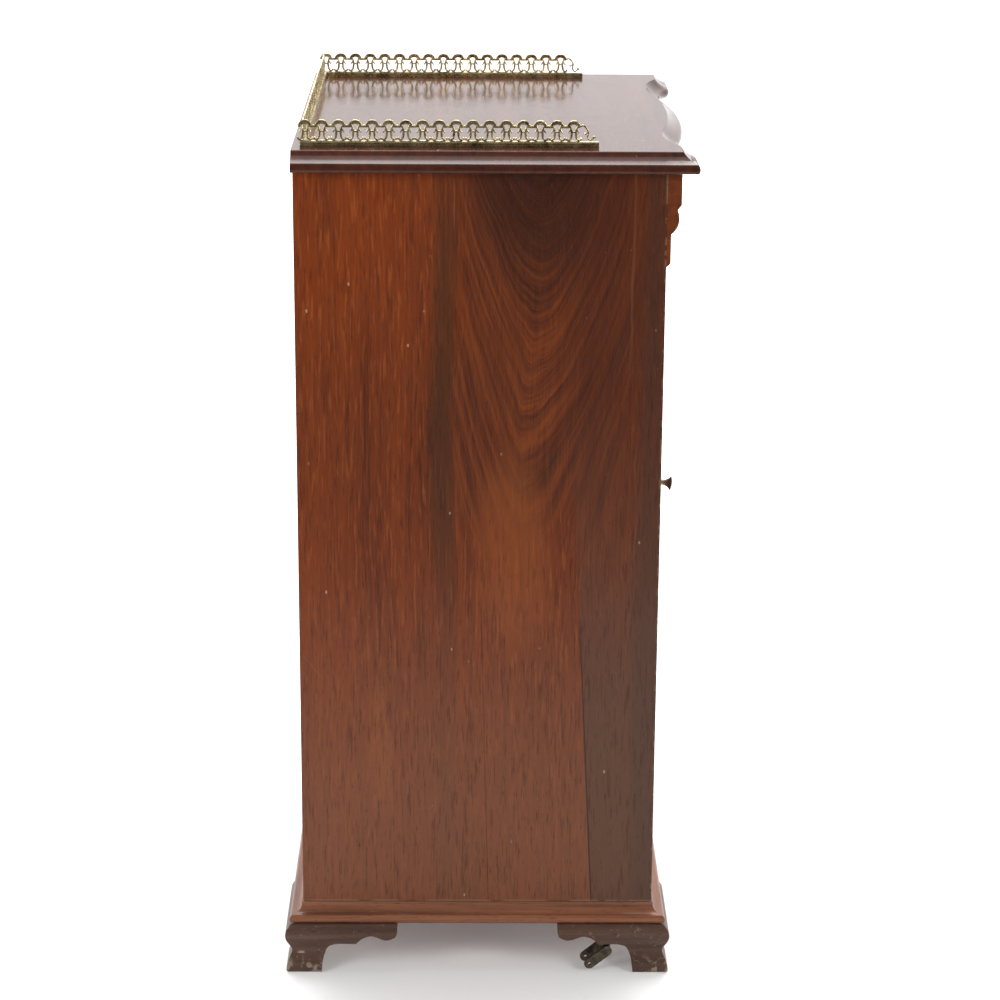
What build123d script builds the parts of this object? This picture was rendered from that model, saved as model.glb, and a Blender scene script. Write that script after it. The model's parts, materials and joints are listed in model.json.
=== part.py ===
"""Music roll cabinet: a tall narrow case with one door, on ogee bracket feet, under a brass gallery.

Millimetres. X runs to the right seen from the front, Y to the back and Z up. The origin is on the
floor, under the middle of the whole outline.
"""
from build123d import *
from math import cos, radians, sin, sqrt
import os

# Case
case_width = 490.0
case_depth = 370.0
case_height = 785.5
side_thickness = 18.0
bottom_thickness = 18.0
sub_top_thickness = 14.0
housing_depth = 6.0
back_thickness = 10.0
back_rebate = 9.0
back_board_count = 3
back_lap = 8.0
lap_gap = 0.2
frieze_height = 95.5
rail_thickness = 20.0
dust_board_thickness = 10.0
shelf_count = 4
shelf_thickness = 10.0
shelf_setback = 3.0

# Top
top_thickness = 20.0
top_side_reach = 15.0
top_front_reach = 30.5
top_back_reach = 1.6
edge_run = 16.0
edge_drop = 10.5
edge_hollow = 1.3
nose_swell = 2.4
nose_underset = 1.8
pocket_offset = 150.0
pocket_depth = 14.6
bow_depth = 13.1
pocket_radius = 200.0
shoulder_radius = 130.0
lobe_radius = 25.0

# Frieze moulding, measured out from the front of the case
frieze_reach = 14.0
frieze_fascia = 33.0
frieze_quirk = 10.5
frieze_chamfer = 4.5
frieze_bead_top = 39.5
frieze_bead_reach = 12.0
frieze_bead_middle = 48.0
frieze_bead_end = 62.5
frieze_band_reach = 4.2
frieze_band_end = 90.5
frieze_foot_reach = 2.9
frieze_foot = 93.4

# Base frame and feet
base_height = 21.0
base_reach = 14.0
base_stock = 70.0
base_lip = 1.5
base_cove_reach = 9.0
base_cove_middle = 3.6
base_cove_height = 13.0
base_bead_reach = 11.5
base_bead_height = 10.0
base_quirk_reach = 10.0
base_quirk = 1.5
foot_height = 54.0
foot_bulge = 19.0
foot_pad = 18.0
foot_top_reach = 13.0
foot_neck_reach = 12.2
foot_toe = 3.0
foot_stock = 34.0
foot_length = 100.0
foot_pad_inner = 19.5
foot_shelf_start = 37.0
foot_shelf_end = 56.0
foot_shelf_height = 32.0
foot_arch_middle = 69.0
foot_arch_height = 42.6
foot_lobe_middle = 89.0
foot_lobe_height = 36.8
foot_block_size = 40.0

# Ogee face of the feet, as reach out from the case and height above the floor
ogee_shoulder = (18.3, 47.0)
ogee_belly_height = 41.6
ogee_turn = (15.8, 31.3)
ogee_neck_height = 24.3
ogee_flare = (13.8, 18.4)
ogee_ankle_height = 9.2

# Cut-out under the brackets, as distance from the corner and height above the floor
heel_top = (21.5, 17.0)
heel_knee = (26.0, 27.0)
step_end = (57.5, 34.0)
arch_end = (79.0, 40.6)
lobe_end_place = (98.5, 41.8)
bracket_tip_height = 45.8

# Casters
caster_along = 49.0
caster_inset = 0.0
stem_radius = 4.0
stem_clearance = 0.05
socket_wall = 1.2
socket_length = 28.0
socket_flange_radius = 6.2
socket_flange = 1.5
horn_trail = 18.5
horn_axle_height = 8.5
horn_end_radius = 5.7
horn_gap = 16.0
horn_cheek = 2.5
horn_crown = 3.0
horn_crown_drop = 5.0
horn_turn = 12.0
axle_radius = 1.6
seat_gap = 0.3

# Door
door_thickness = 20.0
door_gap = 1.5
stile_width = 55.0
top_rail_width = 55.0
bottom_rail_width = 75.0
groove_front = 8.0
groove_width = 6.0
groove_depth = 8.0
panel_play = 1.0
panel_margin = 12.0
panel_bevel = 26.0
panel_field_rise = 5.0
tenon_length = 32.0
bead_width = 9.0
bead_setback = 1.5
bead_rounding = 5.0
mitre_gap = 0.2
stop_size = 12.0
stop_gap = 0.3

# Knob
knob_height = 528.0
knob_length = 14.5
knob_flare_radius = 7.2
knob_neck_radius = 3.6
knob_droop = 7.0
knob_collar = 1.2
knob_waist_radius = 2.9
knob_waist = 4.4
knob_throat = 8.4
knob_bell_radius = 5.0
knob_bell = 10.9
knob_rim = 12.5
knob_rim_width = 1.1
knob_boss_radius = 3.6
knob_screw_radius = 1.8
knob_screw_head_radius = 4.0
knob_screw_grip = 8.0

# Hinges
hinge_height = 64.0
hinge_leaf_width = 15.0
hinge_leaf = 2.0
hinge_gap = 2.0
barrel_radius = 3.5
barrel_setout = 3.8
hinge_pin_radius = 1.6
hinge_pin_clearance = 0.06
knuckle_count = 5
knuckle_gap = 0.3
hinge_from_end = 90.0
hinge_screw_pitch = 22.0

# Ball catch
catch_drop = 70.0
ball_radius = 3.5
ball_reach = 1.9
ball_clearance = 0.1
cup_radius = 4.8
cup_length = 14.0
cup_floor = 1.0
cup_lip = 0.5
cup_lip_radius = 3.36
spring_radius = 2.9
spring_wall = 0.7
strike_thickness = 1.0
strike_width = 12.0
strike_height = 32.0
strike_hole_radius = 2.2
strike_pocket_depth = 2.0
strike_screw_pitch = 22.0

# Screws
screw_radius = 1.4
screw_head_radius = 2.7
screw_length = 13.0
case_screw_radius = 2.0
case_screw_head_radius = 4.0
case_screw_length = 24.0
base_screw_length = 33.0
screw_play = 0.05

# Gallery
gallery_side_inset = 22.0
gallery_back_inset = 6.4
gallery_length = 295.8
gallery_rail_height = 5.2
gallery_rail_width = 6.0
gallery_reed = 0.7
gallery_sole = 0.7
fret_height = 21.3
fret_thickness = 1.8
fret_ribbon = 2.1
arch_width = 12.2
arch_pitch = 16.6
arch_count = 17
gallery_tail = 25.0
arch_side_reach = 4.4
leg_middle_reach = 2.7
curl_start_reach = 4.2
curl_bottom = (5.7, 0.3)

# Scrolled end of the side galleries, as distance from the last arch and height above the rail
tail_ribbon = 1.7
tail_ball_radius = 1.6
tail_scroll = [(9.8, 15.8), (13.4, 12.4), (14.2, 9.0), (14.0, 5.0), (16.2, 1.9), (19.6, 4.2)]
neck_height = 8.8
neck_half_width = 2.2
link_height = 14.6
link_bead = 1.1
link_bar = 1.3
curl_offset = 6.3
curl_radius = 1.2
gallery_pin_radius = 1.0
gallery_pin_length = 9.0
gallery_pins_per_rail = 3

# Places worked out from the sizes
half_width = case_width / 2
half_depth = case_depth / 2
case_middle = (top_front_reach - foot_bulge) / 2
front = case_middle - half_depth
back = case_middle + half_depth
base_top = foot_height + base_height
case_top = base_top + case_height
top_face = case_top + top_thickness
inner_x = half_width - side_thickness
housed_x = inner_x + housing_depth
bay_bottom = base_top + bottom_thickness
frieze_bottom = case_top - frieze_height
bay_top = frieze_bottom - dust_board_thickness
sub_top_bottom = case_top - sub_top_thickness
rail_back = front + rail_thickness
back_front = back - back_thickness
shelf_front = front + door_thickness + shelf_setback
bay_height = (bay_top - bay_bottom - shelf_count * shelf_thickness) / (shelf_count + 1)
shelf_pitch = bay_height + shelf_thickness
shelf_levels = [bay_bottom + bay_height + n * shelf_pitch for n in range(shelf_count)]

door_left = -inner_x + door_gap
door_right = inner_x - hinge_gap
door_bottom = bay_bottom + door_gap
door_top = frieze_bottom - door_gap
door_back = front + door_thickness
opening_left = door_left + stile_width
opening_right = door_right - stile_width
opening_bottom = door_bottom + bottom_rail_width
opening_top = door_top - top_rail_width
opening_x = (opening_left + opening_right) / 2
opening_z = (opening_bottom + opening_top) / 2
opening_width = opening_right - opening_left
opening_height = opening_top - opening_bottom
groove_y = front + groove_front
groove_back = groove_y + groove_width

hinge_x = inner_x - hinge_gap / 2
hinge_y = front - barrel_setout
hinge_levels = [door_bottom + hinge_from_end, door_top - hinge_from_end]
knuckle_height = hinge_height / knuckle_count
catch_z = knob_height - catch_drop
catch_y = front + door_thickness / 2
knob_x = door_left + stile_width / 2
ball_depth = ball_radius - ball_reach

socket_radius = stem_radius + stem_clearance + socket_wall
socket_top = foot_shelf_height + socket_length
caster_x = half_width - caster_inset
caster_y = half_depth - caster_along

gallery_x = half_width - gallery_side_inset - gallery_rail_width / 2
gallery_y = back - gallery_back_inset - gallery_rail_width / 2
gallery_corner_y = gallery_y + gallery_rail_width / 2
rail_top = top_face + gallery_rail_height

cut_over = 1.0  # how far a cut runs past the face that it opens
LOW = (Align.CENTER, Align.CENTER, Align.MIN)
CORNER = (Align.MIN, Align.MIN, Align.MIN)
UP = Vector(0, 0, 1)
RIGHT = Vector(1, 0, 0)
BACKWARD = Vector(0, 1, 0)

os.makedirs("parts", exist_ok=True)


def keep(piece, name):
    """Label a finished piece and write it to its own file."""
    piece.part.label = name
    export_step(piece.part, f"parts/{name}.step")


def block(low, high, mode=Mode.ADD):
    """A plain board between its lowest and highest corners, in the part that is being made."""
    size = Vector(*high) - Vector(*low)
    with Locations(low):
        Box(size.X, size.Y, size.Z, align=CORNER, mode=mode)


def screw(head, direction, length, radius, head_radius, play=0.0):
    """A countersunk screw whose slotted head lies at one point, or with play the hole for it."""
    with BuildPart(Plane(origin=head, z_dir=direction)) as shape:
        Cone(head_radius + play, radius + play, head_radius - radius, align=LOW)
        Cylinder(radius + play, length + play, align=LOW)
        if play == 0.0:
            Box(2 * head_radius, head_radius / 4, head_radius / 5, align=LOW, mode=Mode.SUBTRACT)
    return shape.part


def drill(screws):
    """Cut the holes for a list of screws in the part that is being made."""
    for place in screws:
        add(screw(*place, play=screw_play), mode=Mode.SUBTRACT)


def case_screw(x, y, z, direction, length=case_screw_length):
    """The place of one iron screw of the case."""
    return (x, y, z), direction, length, case_screw_radius, case_screw_head_radius


def brass_screw(x, y, z, direction):
    """The place of one small brass screw."""
    return (x, y, z), direction, screw_length, screw_radius, screw_head_radius


# Screw places
back_screws = [
    case_screw(x, back, bay_bottom + bay_height / 2 + n * shelf_pitch, -BACKWARD)
    for n in range(0, shelf_count + 1, 2)
    for x in (-inner_x - back_rebate / 2, inner_x + back_rebate / 2)
]
edge_screws = [
    case_screw(x, back, z, -BACKWARD)
    for x in (-inner_x * 2 / 3, 0.0, inner_x * 2 / 3)
    for z in (base_top + bottom_thickness / 2, case_top - sub_top_thickness / 2)
]
top_screws = [
    case_screw(x, case_middle + y, sub_top_bottom, UP)
    for x in (-inner_x * 0.8, 0.0, inner_x * 0.8)
    for y in (-half_depth * 0.6, half_depth * 0.6)
]
frame_screw_inset = side_thickness + base_stock / 3
base_screws = [
    case_screw(x, case_middle + y, foot_height, UP, base_screw_length)
    for x in (-half_width / 3, half_width / 3)
    for y in (-half_depth + frame_screw_inset, half_depth - frame_screw_inset)
]
base_screws += [
    case_screw(x, case_middle + y, foot_height, UP, base_screw_length)
    for x in (-half_width + frame_screw_inset, half_width - frame_screw_inset)
    for y in (-half_depth / 4, half_depth / 4)
]
hinge_screw_y = front + hinge_leaf_width / 2
case_hinge_screws = [
    brass_screw(inner_x, hinge_screw_y, level + n * hinge_screw_pitch, RIGHT)
    for level in hinge_levels
    for n in (-1, 0, 1)
]
door_hinge_screws = [
    brass_screw(door_right, hinge_screw_y, level + n * hinge_screw_pitch, -RIGHT)
    for level in hinge_levels
    for n in (-1, 0, 1)
]
strike_screws = [
    brass_screw(-inner_x, catch_y, catch_z + n * strike_screw_pitch / 2, -RIGHT) for n in (-1, 1)
]

# Side panels, housed for every board that meets them and rebated for the back
for side, name in ((-1, "side_left"), (1, "side_right")):
    inner_face = Plane.YZ.offset(side * inner_x)
    with BuildPart() as side_panel:
        with BuildSketch(Plane.YZ.offset(side * half_width)):
            with Locations((case_middle, base_top + case_height / 2)):
                Rectangle(case_depth, case_height)
        extrude(amount=-side * side_thickness)
        housings = [(front, base_top, bay_bottom)]
        housings += [(shelf_front, z, z + shelf_thickness) for z in shelf_levels]
        housings += [(rail_back, bay_top, frieze_bottom), (rail_back, sub_top_bottom, case_top)]
        for start, low, high in housings:
            with BuildSketch(inner_face):
                with Locations(((start + back_front) / 2, (low + high) / 2)):
                    Rectangle(back_front - start, high - low)
            extrude(amount=side * housing_depth, mode=Mode.SUBTRACT)
        with BuildSketch(inner_face):
            with Locations((back - back_thickness / 2, base_top + case_height / 2)):
                Rectangle(back_thickness, case_height)
        extrude(amount=side * back_rebate, mode=Mode.SUBTRACT)
        drill([place for place in back_screws if place[0][0] * side > 0])
        if side > 0:
            with BuildSketch(inner_face):
                with Locations(*[(front + hinge_leaf_width / 2, z) for z in hinge_levels]):
                    Rectangle(hinge_leaf_width, hinge_height)
            extrude(amount=hinge_leaf, mode=Mode.SUBTRACT)
            drill(case_hinge_screws)
        else:
            with BuildSketch(inner_face):
                with Locations((catch_y, catch_z)):
                    Rectangle(strike_width, strike_height)
            extrude(amount=-strike_thickness, mode=Mode.SUBTRACT)
            with BuildSketch(inner_face):
                with Locations((catch_y, catch_z)):
                    Circle(strike_hole_radius)
            extrude(amount=-strike_thickness - strike_pocket_depth, mode=Mode.SUBTRACT)
            drill(strike_screws)
    keep(side_panel, name)

# Boards of the case
with BuildPart() as case_bottom:
    block((-housed_x, front, base_top), (housed_x, back_front, bay_bottom))
    drill(base_screws)
    drill(edge_screws)
keep(case_bottom, "case_bottom")

with BuildPart() as sub_top:
    block((-housed_x, rail_back, sub_top_bottom), (housed_x, back_front, case_top))
    drill(top_screws)
    drill(edge_screws)
keep(sub_top, "sub_top")

with BuildPart() as dust_board:
    block((-housed_x, rail_back, bay_top), (housed_x, back_front, frieze_bottom))
keep(dust_board, "dust_board")

for n, level in enumerate(shelf_levels):
    with BuildPart() as shelf:
        block((-housed_x, shelf_front, level), (housed_x, back_front, level + shelf_thickness))
        fillet(shelf.edges().filter_by(Axis.X).group_by(Axis.Y)[0], shelf_thickness * 0.3)
    keep(shelf, f"shelf_{n + 1}")

with BuildPart() as top_rail:
    block((-inner_x, front, frieze_bottom), (inner_x, rail_back, case_top))
keep(top_rail, "top_rail")

stop_front = door_back + stop_gap
with BuildPart() as door_stop:
    block((-inner_x, stop_front, bay_top - stop_size), (inner_x, stop_front + stop_size, bay_top))
keep(door_stop, "door_stop")

# Back boards, lapped over one another and screwed on from behind
back_half = inner_x + back_rebate
board_width = 2 * back_half / back_board_count
lap_y = back - back_thickness / 2


def back_board(n):
    """One upright back board, with its lap under the next board to the right."""
    left = -back_half + n * board_width
    right = left + board_width
    lap = back_lap if n < back_board_count - 1 else 0.0
    joint = lap_gap if n > 0 else 0.0
    notch = back_lap + lap_gap if n > 0 else 0.0
    with BuildPart() as board:
        block((left + notch, back_front, base_top), (right, lap_y, case_top))
        block((left + notch, back_front, base_top), (right + lap, lap_y - lap_gap, case_top))
        block((left + joint, lap_y, base_top), (right, back, case_top))
        drill(back_screws)
        drill(edge_screws)
    return board.part


with BuildPart() as back_boards:
    for n in range(back_board_count):
        add(back_board(n))
keep(back_boards, "back_boards")

# Frieze moulding, run straight across the front under the top
with BuildPart() as frieze:
    frieze_end = Plane((-half_width, front, case_top), x_dir=-BACKWARD, z_dir=-RIGHT)
    with BuildSketch(frieze_end):
        with BuildLine():
            fascia = Polyline(
                (0, 0),
                (frieze_reach, 0),
                (frieze_reach, -frieze_fascia),
                (frieze_quirk, -frieze_fascia - frieze_chamfer),
                (frieze_quirk, -frieze_bead_top),
            )
            bead = ThreePointArc(
                fascia @ 1,
                (frieze_bead_reach, -frieze_bead_middle),
                (frieze_band_reach, -frieze_bead_end),
            )
            band = Line(bead @ 1, (frieze_band_reach, -frieze_band_end))
            ThreePointArc(
                band @ 1,
                (frieze_foot_reach, -frieze_foot),
                (0, -frieze_height),
            )
            Line((0, -frieze_height), (0, 0))
        make_face()
    extrude(amount=case_width, dir=RIGHT)
keep(frieze, "frieze")

# Places of the gallery pins, which hold the brass rails down
pin_places = [
    (side * gallery_x, gallery_corner_y - gallery_length * (n + 0.5) / gallery_pins_per_rail)
    for side in (-1, 1)
    for n in range(gallery_pins_per_rail)
]
pin_places += [
    (gallery_x * (2 * n / (gallery_pins_per_rail - 1) - 1) * 0.7, gallery_y)
    for n in range(gallery_pins_per_rail)
]
pin_foot = top_face + gallery_rail_height / 2 - gallery_pin_length


def drill_pins():
    """Cut the holes of the gallery pins in the part that is being made."""
    with BuildSketch(Plane.XY.offset(pin_foot)) as holes:
        with Locations(*pin_places):
            Circle(gallery_pin_radius + screw_play)
    extrude(holes.sketch, amount=gallery_pin_length, mode=Mode.SUBTRACT)


# Top, with a serpentine front made of tangent arcs and a moulded edge on three sides
nose_front = front - top_front_reach
lobe_y = nose_front + edge_run
edge_x = half_width + top_side_reach - edge_run
pocket_y = lobe_y + pocket_depth
bow_y = pocket_y - bow_depth
top_back = back + top_back_reach
bow_radius = (pocket_offset**2 + bow_depth**2) / (2 * bow_depth) - pocket_radius
bow_end = pocket_offset * bow_radius / (bow_radius + pocket_radius)
bow_end_y = bow_y + bow_radius - sqrt(bow_radius**2 - bow_end**2)
lobe_reach = sqrt(2 * pocket_depth * (shoulder_radius + lobe_radius) - pocket_depth**2)
lobe_start = pocket_offset + lobe_reach
lobe_end = pocket_offset + lobe_reach * shoulder_radius / (shoulder_radius + lobe_radius)
lobe_end_y = pocket_y - shoulder_radius + sqrt(shoulder_radius**2 - (lobe_end - pocket_offset) ** 2)
cutter_width = edge_run + pocket_depth + bow_depth

with BuildPart() as top:
    block((-edge_x - edge_run, nose_front, case_top), (edge_x + edge_run, top_back, top_face))
    with BuildLine(Plane.XY.offset(top_face)) as edge_path:
        Line((-edge_x, top_back), (-edge_x, lobe_y))
        Line((-edge_x, lobe_y), (-lobe_start, lobe_y))
        RadiusArc((-lobe_start, lobe_y), (-lobe_end, lobe_end_y), -lobe_radius)
        RadiusArc((-lobe_end, lobe_end_y), (-pocket_offset, pocket_y), shoulder_radius)
        RadiusArc((-pocket_offset, pocket_y), (-bow_end, bow_end_y), pocket_radius)
        ThreePointArc((-bow_end, bow_end_y), (0, bow_y), (bow_end, bow_end_y))
        RadiusArc((bow_end, bow_end_y), (pocket_offset, pocket_y), pocket_radius)
        RadiusArc((pocket_offset, pocket_y), (lobe_end, lobe_end_y), shoulder_radius)
        RadiusArc((lobe_end, lobe_end_y), (lobe_start, lobe_y), -lobe_radius)
        Line((lobe_start, lobe_y), (edge_x, lobe_y))
        Line((edge_x, lobe_y), (edge_x, top_back))
    corner_run = edge_run - nose_swell
    with BuildSketch(Plane(origin=(-edge_x, top_back, top_face), x_dir=-RIGHT, z_dir=BACKWARD)):
        with BuildLine():
            hollow = ThreePointArc(
                (0, 0),
                (corner_run / 2 - edge_hollow / 2, -edge_drop / 2 - edge_hollow),
                (corner_run, -edge_drop),
            )
            nose = ThreePointArc(
                hollow @ 1,
                (edge_run, -(edge_drop + top_thickness) / 2),
                (edge_run - nose_underset, -top_thickness),
            )
            Polyline(
                nose @ 1,
                (edge_run - nose_underset, -top_thickness - cut_over),
                (cutter_width, -top_thickness - cut_over),
                (cutter_width, cut_over),
                (0, cut_over),
                (0, 0),
            )
        make_face()
    sweep(path=edge_path.wire(), transition=Transition.RIGHT, mode=Mode.SUBTRACT)
    drill(top_screws)
    drill_pins()
keep(top, "top")

with BuildPart() as gallery_pins:
    with BuildSketch(Plane.XY.offset(pin_foot)):
        with Locations(*pin_places):
            Circle(gallery_pin_radius)
    extrude(amount=gallery_pin_length)
keep(gallery_pins, "gallery_pins")


def gallery_rail(start, outward, along, length):
    """A reeded brass rail whose outer face starts at one point and runs along a direction."""
    half = gallery_rail_width / 2
    step = gallery_rail_height / 4  # four equal flats and reeds from foot to shoulder
    with BuildPart() as rail:
        with BuildSketch(Plane(origin=start, x_dir=outward, z_dir=outward.cross(UP))):
            with BuildLine():
                side_line = Polyline((-half, 0), (0, 0), (0, step))
                lower = ThreePointArc(side_line @ 1, (-gallery_reed, step * 1.5), (0, step * 2))
                upper = Line(lower @ 1, (0, step * 3))
                Polyline(
                    upper @ 1,
                    (-gallery_reed, step * 4),
                    (-2 * half + gallery_reed, step * 4),
                    (-2 * half, step * 3),
                    (-2 * half, 0),
                    (-half, 0),
                )
            make_face()
        extrude(amount=length, dir=along)
    return rail.part


corner_x = gallery_x + gallery_rail_width / 2
for side, name in ((-1, "gallery_rail_left"), (1, "gallery_rail_right")):
    corner = Vector(side * corner_x, gallery_corner_y, top_face)
    with BuildPart() as side_rail:
        add(gallery_rail(corner, RIGHT * side, -BACKWARD, gallery_length))
        split(bisect_by=Plane(origin=corner, z_dir=BACKWARD - RIGHT * side), keep=Keep.BOTTOM)
        drill_pins()
    keep(side_rail, name)

with BuildPart() as gallery_rail_back:
    corner = Vector(-corner_x, gallery_corner_y, top_face)
    add(gallery_rail(corner, BACKWARD, RIGHT, 2 * corner_x))
    split(bisect_by=Plane(origin=corner, z_dir=-RIGHT - BACKWARD), keep=Keep.BOTTOM)
    corner = Vector(corner_x, gallery_corner_y, top_face)
    split(bisect_by=Plane(origin=corner, z_dir=RIGHT - BACKWARD), keep=Keep.BOTTOM)
    drill_pins()
keep(gallery_rail_back, "gallery_rail_back")

# One arch of the pierced gallery, drawn about its middle with its foot at zero
arch_radius = (arch_width - fret_ribbon) / 2
arch_spring = fret_height - fret_ribbon / 2 - arch_radius
foot_y = gallery_sole + fret_ribbon / 2
with BuildSketch() as arch:
    with BuildLine():
        ThreePointArc(
            (-arch_radius, arch_spring), (0, arch_spring + arch_radius), (arch_radius, arch_spring)
        )
        for sign in (-1, 1):
            waist = (sign * neck_half_width, neck_height)
            ThreePointArc(
                (sign * arch_radius, arch_spring),
                (sign * arch_side_reach, (arch_spring + neck_height) / 2),
                waist,
            )
            ThreePointArc(
                waist,
                (sign * leg_middle_reach, neck_height / 2),
                (sign * curl_start_reach, foot_y),
            )
            ThreePointArc(
                (sign * curl_start_reach, foot_y),
                (sign * curl_bottom[0], foot_y + curl_bottom[1]),
                (sign * curl_offset, foot_y + curl_radius),
            )
    trace(line_width=fret_ribbon)
    with Locations((0, neck_height)):
        Rectangle(2 * neck_half_width, fret_ribbon)
    with Locations((-curl_offset, foot_y + curl_radius), (curl_offset, foot_y + curl_radius)):
        Circle(curl_radius)


def fret(span, first, count, tail):
    """The pierced strip of the gallery, drawn flat, with the scrolled end on the right if any."""
    last = first + (count - 1) * arch_pitch
    with BuildSketch() as strip:
        with Locations(*[(first + n * arch_pitch, 0) for n in range(count)]):
            add(arch.sketch)
        links = [first + (n + 0.5) * arch_pitch for n in range(-1, count)]
        with Locations(*[(x, link_height) for x in links]):
            Rectangle(arch_pitch - arch_width + fret_ribbon, link_bar)
            Circle(link_bead)
        with Locations((0, 0)):
            Rectangle(span, fret_height, align=(Align.MIN, Align.MIN), mode=Mode.INTERSECT)
            Rectangle(span, gallery_sole, align=(Align.MIN, Align.MIN))
        if tail:
            with BuildLine():
                points = [(last + arch_width / 2, link_height)]
                points += [(last + reach, height) for reach, height in tail_scroll]
                for n in range(0, len(points) - 1, 2):
                    ThreePointArc(points[n], points[n + 1], points[n + 2])
            trace(line_width=tail_ribbon)
            with Locations(points[-1]):
                Circle(tail_ball_radius)
    return strip.sketch


tail_first = gallery_length - gallery_tail - (arch_count - 1) * arch_pitch
with BuildPart() as gallery_fret_left:
    start = Vector(-gallery_x - fret_thickness / 2, gallery_corner_y, rail_top)
    with BuildSketch(Plane(origin=start, x_dir=-BACKWARD, z_dir=-RIGHT)):
        add(fret(gallery_length, tail_first, arch_count, True))
    extrude(amount=-fret_thickness)
keep(gallery_fret_left, "gallery_fret_left")

with BuildPart() as gallery_fret_right:
    add(mirror(gallery_fret_left.part, about=Plane.YZ, mode=Mode.PRIVATE))
keep(gallery_fret_right, "gallery_fret_right")

back_span = 2 * gallery_x - fret_thickness
back_count = int(back_span // arch_pitch)
back_first = (back_span - (back_count - 1) * arch_pitch) / 2
with BuildPart() as gallery_fret_back:
    start = Vector(-back_span / 2, gallery_y + fret_thickness / 2, rail_top)
    with BuildSketch(Plane(origin=start, x_dir=RIGHT, z_dir=-BACKWARD)):
        add(fret(back_span, back_first, back_count, False))
    extrude(amount=fret_thickness)
keep(gallery_fret_back, "gallery_fret_back")


# Base frame: four moulded sticks mitred at the corners
def base_rail(outward, reach, length):
    """One stick of the base frame, under the case face that lies a reach from the middle."""
    along = outward.cross(UP)
    middle = Vector(0, case_middle, foot_height) + outward * reach
    span = length + 2 * base_reach
    with BuildPart() as rail:
        with BuildSketch(Plane(origin=middle - along * (span / 2), x_dir=outward, z_dir=along)):
            with BuildLine():
                lip = Polyline(
                    (base_reach - base_stock, base_height),
                    (base_lip, base_height),
                    (base_lip, base_height - base_lip),
                )
                cove = ThreePointArc(
                    lip @ 1,
                    (base_cove_middle, base_cove_height),
                    (base_cove_reach, base_bead_height),
                )
                fillet_line = Line(cove @ 1, (base_bead_reach, base_bead_height))
                bead = ThreePointArc(
                    fillet_line @ 1,
                    (base_reach, base_bead_height / 2),
                    (base_bead_reach, base_quirk),
                )
                Polyline(
                    bead @ 1,
                    (base_quirk_reach, base_quirk),
                    (base_quirk_reach, 0),
                    (base_reach - base_stock, 0),
                    (base_reach - base_stock, base_height),
                )
            make_face()
        extrude(amount=span, dir=along)
        for end in (-1, 1):
            corner = middle + along * (end * length / 2)
            split(bisect_by=Plane(origin=corner, z_dir=along * end - outward), keep=Keep.BOTTOM)
    return rail.part


socket_hole = socket_radius + screw_play
caster_places = [
    Vector(x, case_middle + y, foot_shelf_height)
    for x in (-caster_x, caster_x)
    for y in (-caster_y, caster_y)
]


def drill_sockets():
    """Cut the four holes of the caster sockets in the part that is being made."""
    with BuildSketch(Plane.XY.offset(foot_shelf_height)) as holes:
        with Locations(*[(place.X, place.Y) for place in caster_places]):
            Circle(socket_hole)
    extrude(holes.sketch, amount=socket_length, mode=Mode.SUBTRACT)


base_sides = {
    "front": (-BACKWARD, half_depth, case_width),
    "back": (BACKWARD, half_depth, case_width),
    "left": (-RIGHT, half_width, case_depth),
    "right": (RIGHT, half_width, case_depth),
}
for name, (outward, reach, length) in base_sides.items():
    with BuildPart() as base_stick:
        add(base_rail(outward, reach, length))
        drill(base_screws)
        drill_sockets()
    keep(base_stick, f"base_rail_{name}")


# Ogee bracket feet: two mitred brackets and a glue block at each corner
def foot_bracket(corner, outward, along):
    """One bracket, with its ogee face outward, that runs along one side from a corner."""
    heel = foot_stock - foot_pad
    with BuildPart() as bracket:
        start = corner - along * (foot_bulge + cut_over)
        with BuildSketch(Plane(origin=start, x_dir=outward, z_dir=outward.cross(UP))):
            with BuildLine():
                face = Spline(
                    (foot_top_reach, foot_height),
                    ogee_shoulder,
                    (foot_bulge, ogee_belly_height),
                    ogee_turn,
                    (foot_neck_reach, ogee_neck_height),
                    ogee_flare,
                    (foot_pad, ogee_ankle_height),
                    (foot_pad, foot_toe),
                )
                Polyline(
                    face @ 1,
                    (foot_pad - foot_toe / 2, 0),
                    (-heel, 0),
                    (-heel, foot_height),
                    (foot_top_reach, foot_height),
                )
            make_face()
        extrude(amount=foot_length + foot_bulge + cut_over, dir=along)
        with BuildSketch(Plane(origin=corner, x_dir=along, z_dir=along.cross(UP))):
            with BuildLine():
                Line((foot_pad_inner, 0), heel_top)
                ThreePointArc(heel_top, heel_knee, (foot_shelf_start, foot_shelf_height))
                Line((foot_shelf_start, foot_shelf_height), (foot_shelf_end, foot_shelf_height))
                Line((foot_shelf_end, foot_shelf_height), step_end)
                ThreePointArc(step_end, (foot_arch_middle, foot_arch_height), arch_end)
                ThreePointArc(arch_end, (foot_lobe_middle, foot_lobe_height), lobe_end_place)
                Polyline(
                    lobe_end_place,
                    (foot_length, bracket_tip_height),
                    (foot_length + cut_over, bracket_tip_height),
                    (foot_length + cut_over, -cut_over),
                    (foot_pad_inner, -cut_over),
                    (foot_pad_inner, 0),
                )
            make_face()
        extrude(amount=foot_stock + foot_bulge, both=True, mode=Mode.SUBTRACT)
        split(bisect_by=Plane(origin=corner, z_dir=-along - outward), keep=Keep.BOTTOM)
        drill_sockets()
    return bracket.part


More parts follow.
